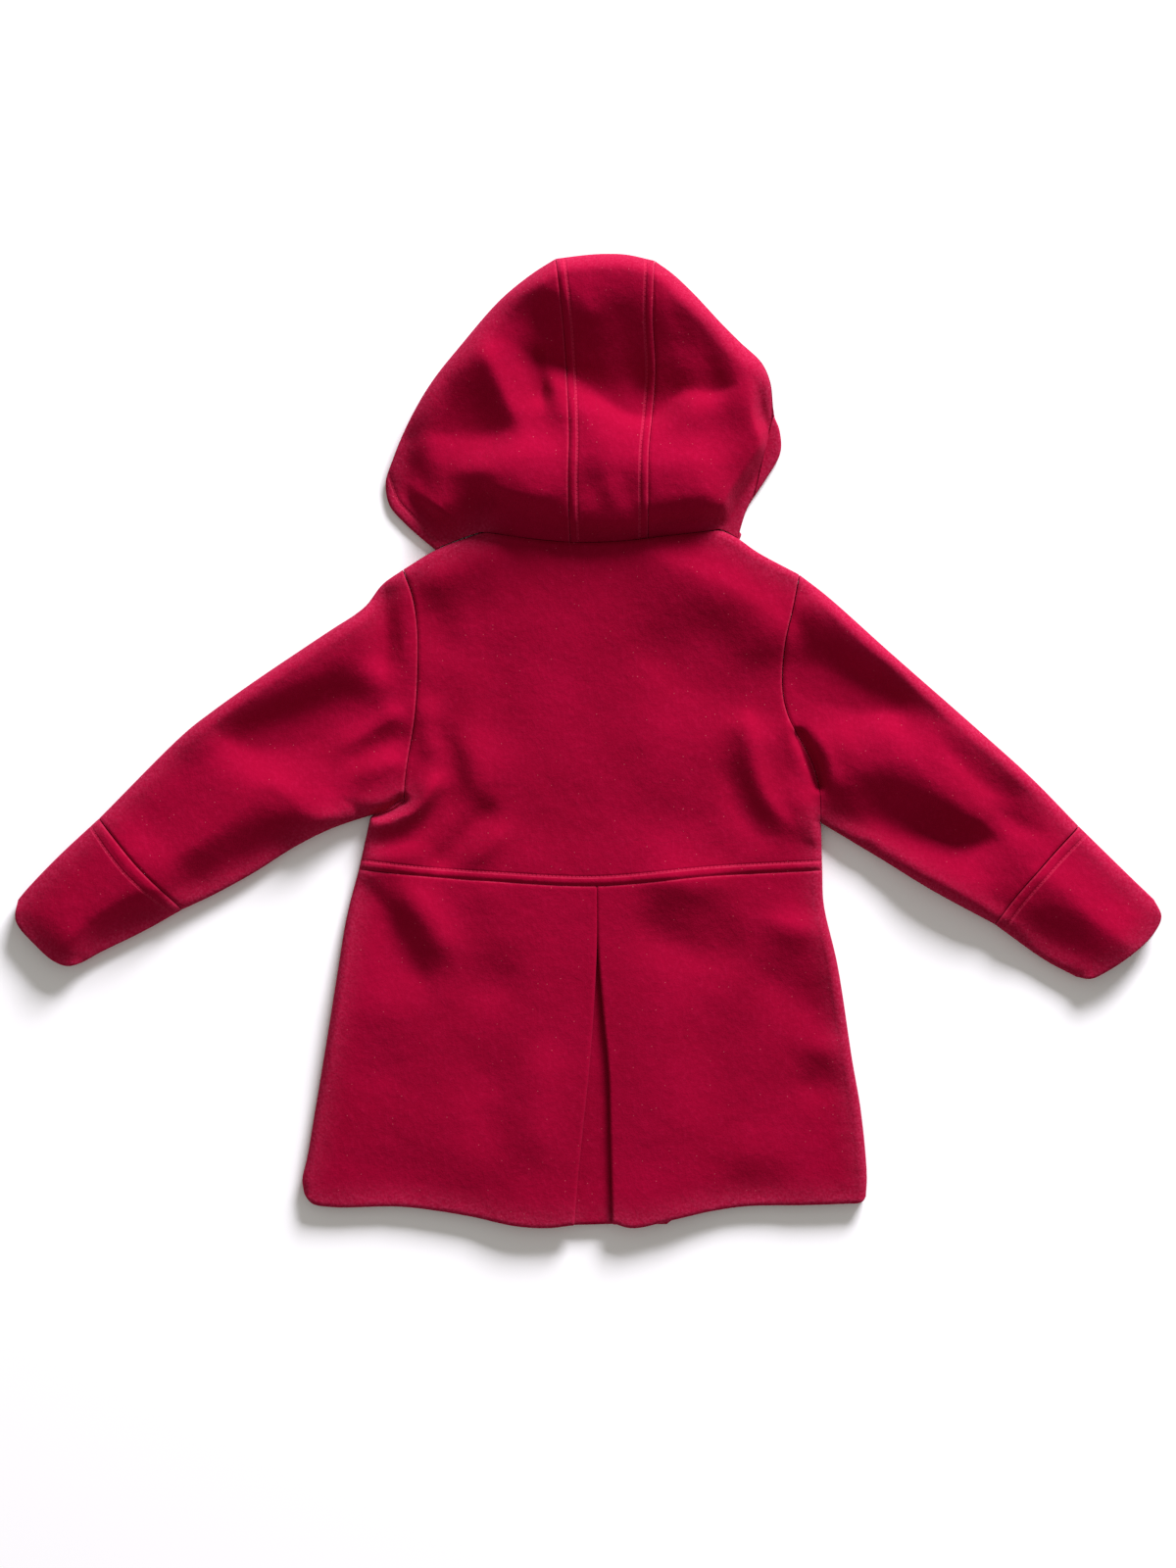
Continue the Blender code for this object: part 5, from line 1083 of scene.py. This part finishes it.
def hood_side(side):
    left = side == "left"
    seam = P(HOOD_SEAM_LEFT if left else HOOD_SEAM_RIGHT)
    out = P(HOOD_OUT_LEFT if left else HOOD_OUT_RIGHT)
    neck = P(HOOD_NECK_LEFT if left else HOOD_NECK_RIGHT)
    tip = Path([tuple(seam(1.0)), tuple(out(1.0))], smooth=False)
    sign = -1 if left else 1
    v = np.concatenate([np.array([0, .5, 1.2, 2.0, 3.0, 4.2]) / 215.0, np.linspace(.028, .9, 104), np.linspace(.9, .9965, 19)[1:]])
    edge = [0, .4, .9, 1.5, 2.3, 3.2, 4.4, 5.8, 7.2, 8.4, 9.4, 10.6, 12.2, 14.2]
    q = marks(118.0, 1.7, NEAR_SEAM, edge)
    if left:
        plan = coons(neck, tip, seam, out, q, v)
        drop = None
    else:
        # one column follows the edge of the upper layer, so that its step is clean
        rim = P(RIM_RIGHT[::-1])
        plain = coons(neck, tip, seam, out, np.linspace(0, 1, 240), v)
        cut = np.ones(len(v))
        for j in range(len(v)):
            _, d, t = near_line(plain[:, j], rim.line, 400.0)
            over = np.flatnonzero((d < 0) & (t < 0.999))
            if len(over) and plain[over[0], j, 1] < RIM_RIGHT[0][1]:
                cut[j] = over[0] / 239.0
        cut = np.minimum(cut, 1 - 0.4 / 118.0)
        first = marks(110.0, 1.7, NEAR_SEAM, [0, .25, .6, 1.0, 1.6, 2.4, 3.4, 4.8])
        second = np.array([0.02, .06, .12, .2, .3, .42, .55, .68, .8, .9, .96, 1.0])
        plan = np.zeros((len(first) + len(second), len(v), 2))
        for j in range(len(v)):
            qj = np.concatenate([first * cut[j], cut[j] + second * (1 - cut[j])])
            plan[:, j] = coons(neck, tip, seam, out, qj, v[j:j + 1])[:, 0]
        q = np.concatenate([first, 1 + 0 * second])
    plan[..., 0] += sign * 0.6 * SEAM * np.clip(1 - abs(plan[..., 0] - plan[:1, :, 0]) / 3.0, 0, 1)
    # the neck edge closes up to the bodice
    x = plan[:, :1, 0]
    down = 0.15 + 0.2 * step(4.0, 12.0, np.maximum(-74.0 - x, x - 94.0)) + np.interp(
        x, [-111, -108, -104, -100, -96, -92, -84, -79, -76, -71, -60, -55, -49, -44, -20, 84, 90, 97],
        [0, -.9, -.5, -.25, 0, .35, .5, .15, .45, 1.05, 1.05, .7, .3, 0, .2, 0, .3, 0])
    plan[..., 1] -= down * np.clip(1 - v * 215.0 / 6.0, 0, 1)
    z = hood_top(plan)
    if not left:
        z[:len(first)] += rim_lift(plan[:len(first)])
        z[len(first):] = np.minimum(z[len(first):], rim_floor(plan[len(first):]))
    over = up(plan, z)
    e, _ = hood_edge(plan[-1])
    over[-1, :, 2] = e
    m = 26
    under = np.zeros((m, len(v), 3))
    for j, t in enumerate(v):
        row = plan[:, j]
        lengths = np.concatenate([[0], np.cumsum(np.linalg.norm(np.diff(row, axis=0), axis=1))])
        width = lengths[-1]
        y = row[-1, 1]
        chin = np.interp(t, CHIN_AT, CHIN_REACH)
        rise = step(205 if left else 235, FACE_TOP - 7, y)
        reach = max(HEM_TURN, chin * (width - 3.0), HEM_TURN + (width - HEM_TURN - 6) * rise ** 1.4)
        reach = width if row[0, 1] > FACE_TOP else min(reach, width)
        at = list(roll_marks(7.0, 6))[1:5]
        at = at + list(np.linspace(max(5.6, 0.12 * reach), reach, m - len(at)))
        at = [min(a, reach - 0.02 * (m - i)) for i, a in enumerate(at)]
        for i, a in enumerate(at):
            s = width - a
            under[i, j, 0] = np.interp(s, lengths, row[:, 0])
            under[i, j, 1] = np.interp(s, lengths, row[:, 1])
    under[..., 2] = hood_low(under[..., :2])
    under[1:, :, 1] += 1.3 * np.clip(1 - v * 215.0 / 2.0, 0, 1)
    grid = np.concatenate([over, under], 0)
    lines = [HOOD_HEM_LEFT] if left else []
    return shell("hood_%s_cloth" % side, "hood_" + side, "wool_hood", grid[:, ::-1] if left else grid, stitches=lines)


def rim_lift(plan):
    """The upper layer's edge stands up and rolls down to its fold."""
    pick, d, t = near_line(plan, P(RIM_RIGHT).line, 16.0)
    out = np.zeros(plan.shape[:-1])
    out.reshape(-1)[pick] = -2.2 * np.exp(-(abs(d) / 1.6) ** 1.3)
    return out


def rim_floor(plan):
    """The layer that peeks out beside it lies lower."""
    return 2.6 + 1.8 * roll(hood_distance(plan), 3.5)


def set_back(plan):
    """Both long edges of the strip step back from the seams, and the points beside them follow."""
    near = np.clip(1 - abs(plan[..., 0] - plan[:1, :, 0]) / 3.0, 0, 1)
    far = np.clip(1 - abs(plan[..., 0] - plan[-1:, :, 0]) / 3.0, 0, 1)
    plan[..., 0] += 0.6 * SEAM * (near - far)


def hood_centre():
    sl, sr = P(HOOD_SEAM_LEFT), P(HOOD_SEAM_RIGHT)
    neck = P([(-13.0, 146.0), (23.0, 146.9), (44.3, 149.0)])
    top = P(HOOD_TOP)
    u = marks(57.0, 1.5, NEAR_SEAM[:13], NEAR_SEAM[:13])
    v = np.concatenate([np.array([0, .5, 1.2, 2.0, 3.0, 4.2]) / 210.0, np.linspace(.028, .922, 108),
                        1 - np.array(roll_marks(15.0, 12))[::-1] / 210.0])
    plan = coons(neck, top, sl, sr, u, v)
    set_back(plan)
    plan[..., 1] -= (0.15 + np.interp(plan[:, :1, 0], [-20, 0, 12, 30, 42], [.2, .5, .4, .2, 0])) * np.clip(
        1 - v * 210.0 / 6.0, 0, 1)
    z = hood_top(plan)
    z[:, -1] = HOOD_EDGE
    over = up(plan, z)
    back = np.concatenate([1 - np.array(roll_marks(9.0, 7))[1:] / 210.0, np.linspace(.95, .71, 22)])
    plan2 = coons(neck, top, sl, sr, u, back)
    set_back(plan2)
    under = up(plan2, hood_low(plan2))
    grid = np.concatenate([over, under], 1)
    return shell("hood_centre_cloth", "hood_centre", "wool_hood", grid, stitches=[HOOD_STITCH_LEFT, HOOD_STITCH_RIGHT])


UNDER_CREASES = [
    # soft dents of the fronts on the floor: rise, widths, radius, fades, points
    (2.6, 10.0, 8.0, 3.0, .4, .4, [(-120.0, -60.0), (-70.0, -75.0), (-40.0, -96.0)]),
    (2.2, 8.0, 11.0, 3.0, .4, .4, [(140.0, -50.0), (96.0, -72.0), (60.0, -80.0)]),
    (1.8, 9.0, 9.0, 3.0, .4, .4, [(-150.0, -160.0), (-120.0, -230.0), (-112.0, -300.0)]),
    (1.6, 9.0, 12.0, 3.0, .4, .4, [(150.0, -180.0), (138.0, -240.0), (146.0, -290.0)]),
    (2.0, 8.0, 8.0, 3.0, .4, .4, [(-90.0, 80.0), (-60.0, 40.0), (-52.0, -10.0)]),
    (2.0, 9.0, 7.0, 3.0, .4, .4, [(120.0, 90.0), (90.0, 40.0), (84.0, 0.0)]),
]


# ------------------------------------------------------------------------ make the coat
END = [0, .2, .5, 1.0, 1.7, 2.6, 3.8]
back_bodice()
back_skirt()
front("left")
front("right")
tube("sleeve_left", "wool_sleeve", P(SLEEVE_LEFT_LOW), P(SLEEVE_LEFT_UP), P(ARMHOLE_LEFT_UPPER),
                           P(CUFF_LEFT_SEAM), SLEEVE_ROLL, 1.9, NEAR_SEAM[:9], NEAR_SEAM[:9], [])
tube("sleeve_right", "wool_sleeve", P(SLEEVE_RIGHT_LOW), P(SLEEVE_RIGHT_UP), P(ARMHOLE_RIGHT),
                            P(CUFF_RIGHT_SEAM), SLEEVE_ROLL, 1.9, NEAR_SEAM[:9], NEAR_SEAM[:9], [])
tube("cuff_left", "wool_sleeve", P(CUFF_LEFT_LOW), P(CUFF_LEFT_UP), P(CUFF_LEFT_SEAM),
                         P(CUFF_LEFT_END), SLEEVE_ROLL, 1.7, NEAR_SEAM, END, [CUFF_LEFT_STITCH])
tube("cuff_right", "wool_sleeve", P(CUFF_RIGHT_LOW), P(CUFF_RIGHT_UP), P(CUFF_RIGHT_SEAM),
                          P(CUFF_RIGHT_END), SLEEVE_ROLL, 1.7, NEAR_SEAM, END, [CUFF_RIGHT_STITCH])
hood_centre()
hood_side("left")
hood_side("right")

# -------------------------------------------------------------------- floor, camera, light
floor_mesh = bpy.data.meshes.new("floor")
floor_mesh.from_pydata([(-6, -6, 0), (6, -6, 0), (6, 6, 0), (-6, 6, 0)], [], [(0, 1, 2, 3)])
floor = bpy.data.objects.new("floor", floor_mesh)
bpy.context.scene.collection.objects.link(floor)
floor.location.z = -0.0002
paper = bpy.data.materials.new("paper")
paper.use_nodes = True
pb = paper.node_tree.nodes["Principled BSDF"]
pb.inputs['Base Color'].default_value = (0.93, 0.93, 0.93, 1.0)
pb.inputs['Roughness'].default_value = 0.9
pb.inputs['Specular IOR Level'].default_value = 0.1
floor_mesh.materials.append(paper)

cam_data = bpy.data.cameras.new("camera")
cam_data.lens = 100.0
cam_data.sensor_width = 36.0
cam = bpy.data.objects.new("camera", cam_data)
bpy.context.scene.collection.objects.link(cam)
cam.location = (-0.0001, -0.0320, 0.010 + 1.152 * 100.0 / 36.0)
cam.rotation_euler = (0, 0, 0)
bpy.context.scene.camera = cam


def area_light(name, azimuth, elevation, distance, size, size_y, power, colour):
    """azimuth is counted from +Y towards +X, in degrees; the light faces the coat."""
    data = bpy.data.lights.new(name, 'AREA')
    data.shape, data.size, data.size_y = 'RECTANGLE', size, size_y
    data.energy, data.color = power, colour
    obj = bpy.data.objects.new(name, data)
    bpy.context.scene.collection.objects.link(obj)
    a, e = math.radians(azimuth), math.radians(elevation)
    at = np.array([math.sin(a) * math.cos(e), math.cos(a) * math.cos(e), math.sin(e)]) * distance
    obj.location = at.tolist()
    from mathutils import Vector
    obj.rotation_euler = (-Vector(at.tolist())).to_track_quat('-Z', 'Y').to_euler()
    return obj


area_light("window", 24.0, 22.0, 6.0, 2.6, 1.7, 900.0, (1.0, 0.98, 1.06))
world = bpy.data.worlds.new("room")
world.use_nodes = True
bg = world.node_tree.nodes["Background"]
bg.inputs[0].default_value = (1.0, 0.96, 0.91, 1.0)
bg.inputs[1].default_value = 0.40
bpy.context.scene.world = world
bpy.context.scene.view_settings.view_transform = 'Standard'
bpy.context.scene.view_settings.look = 'None'
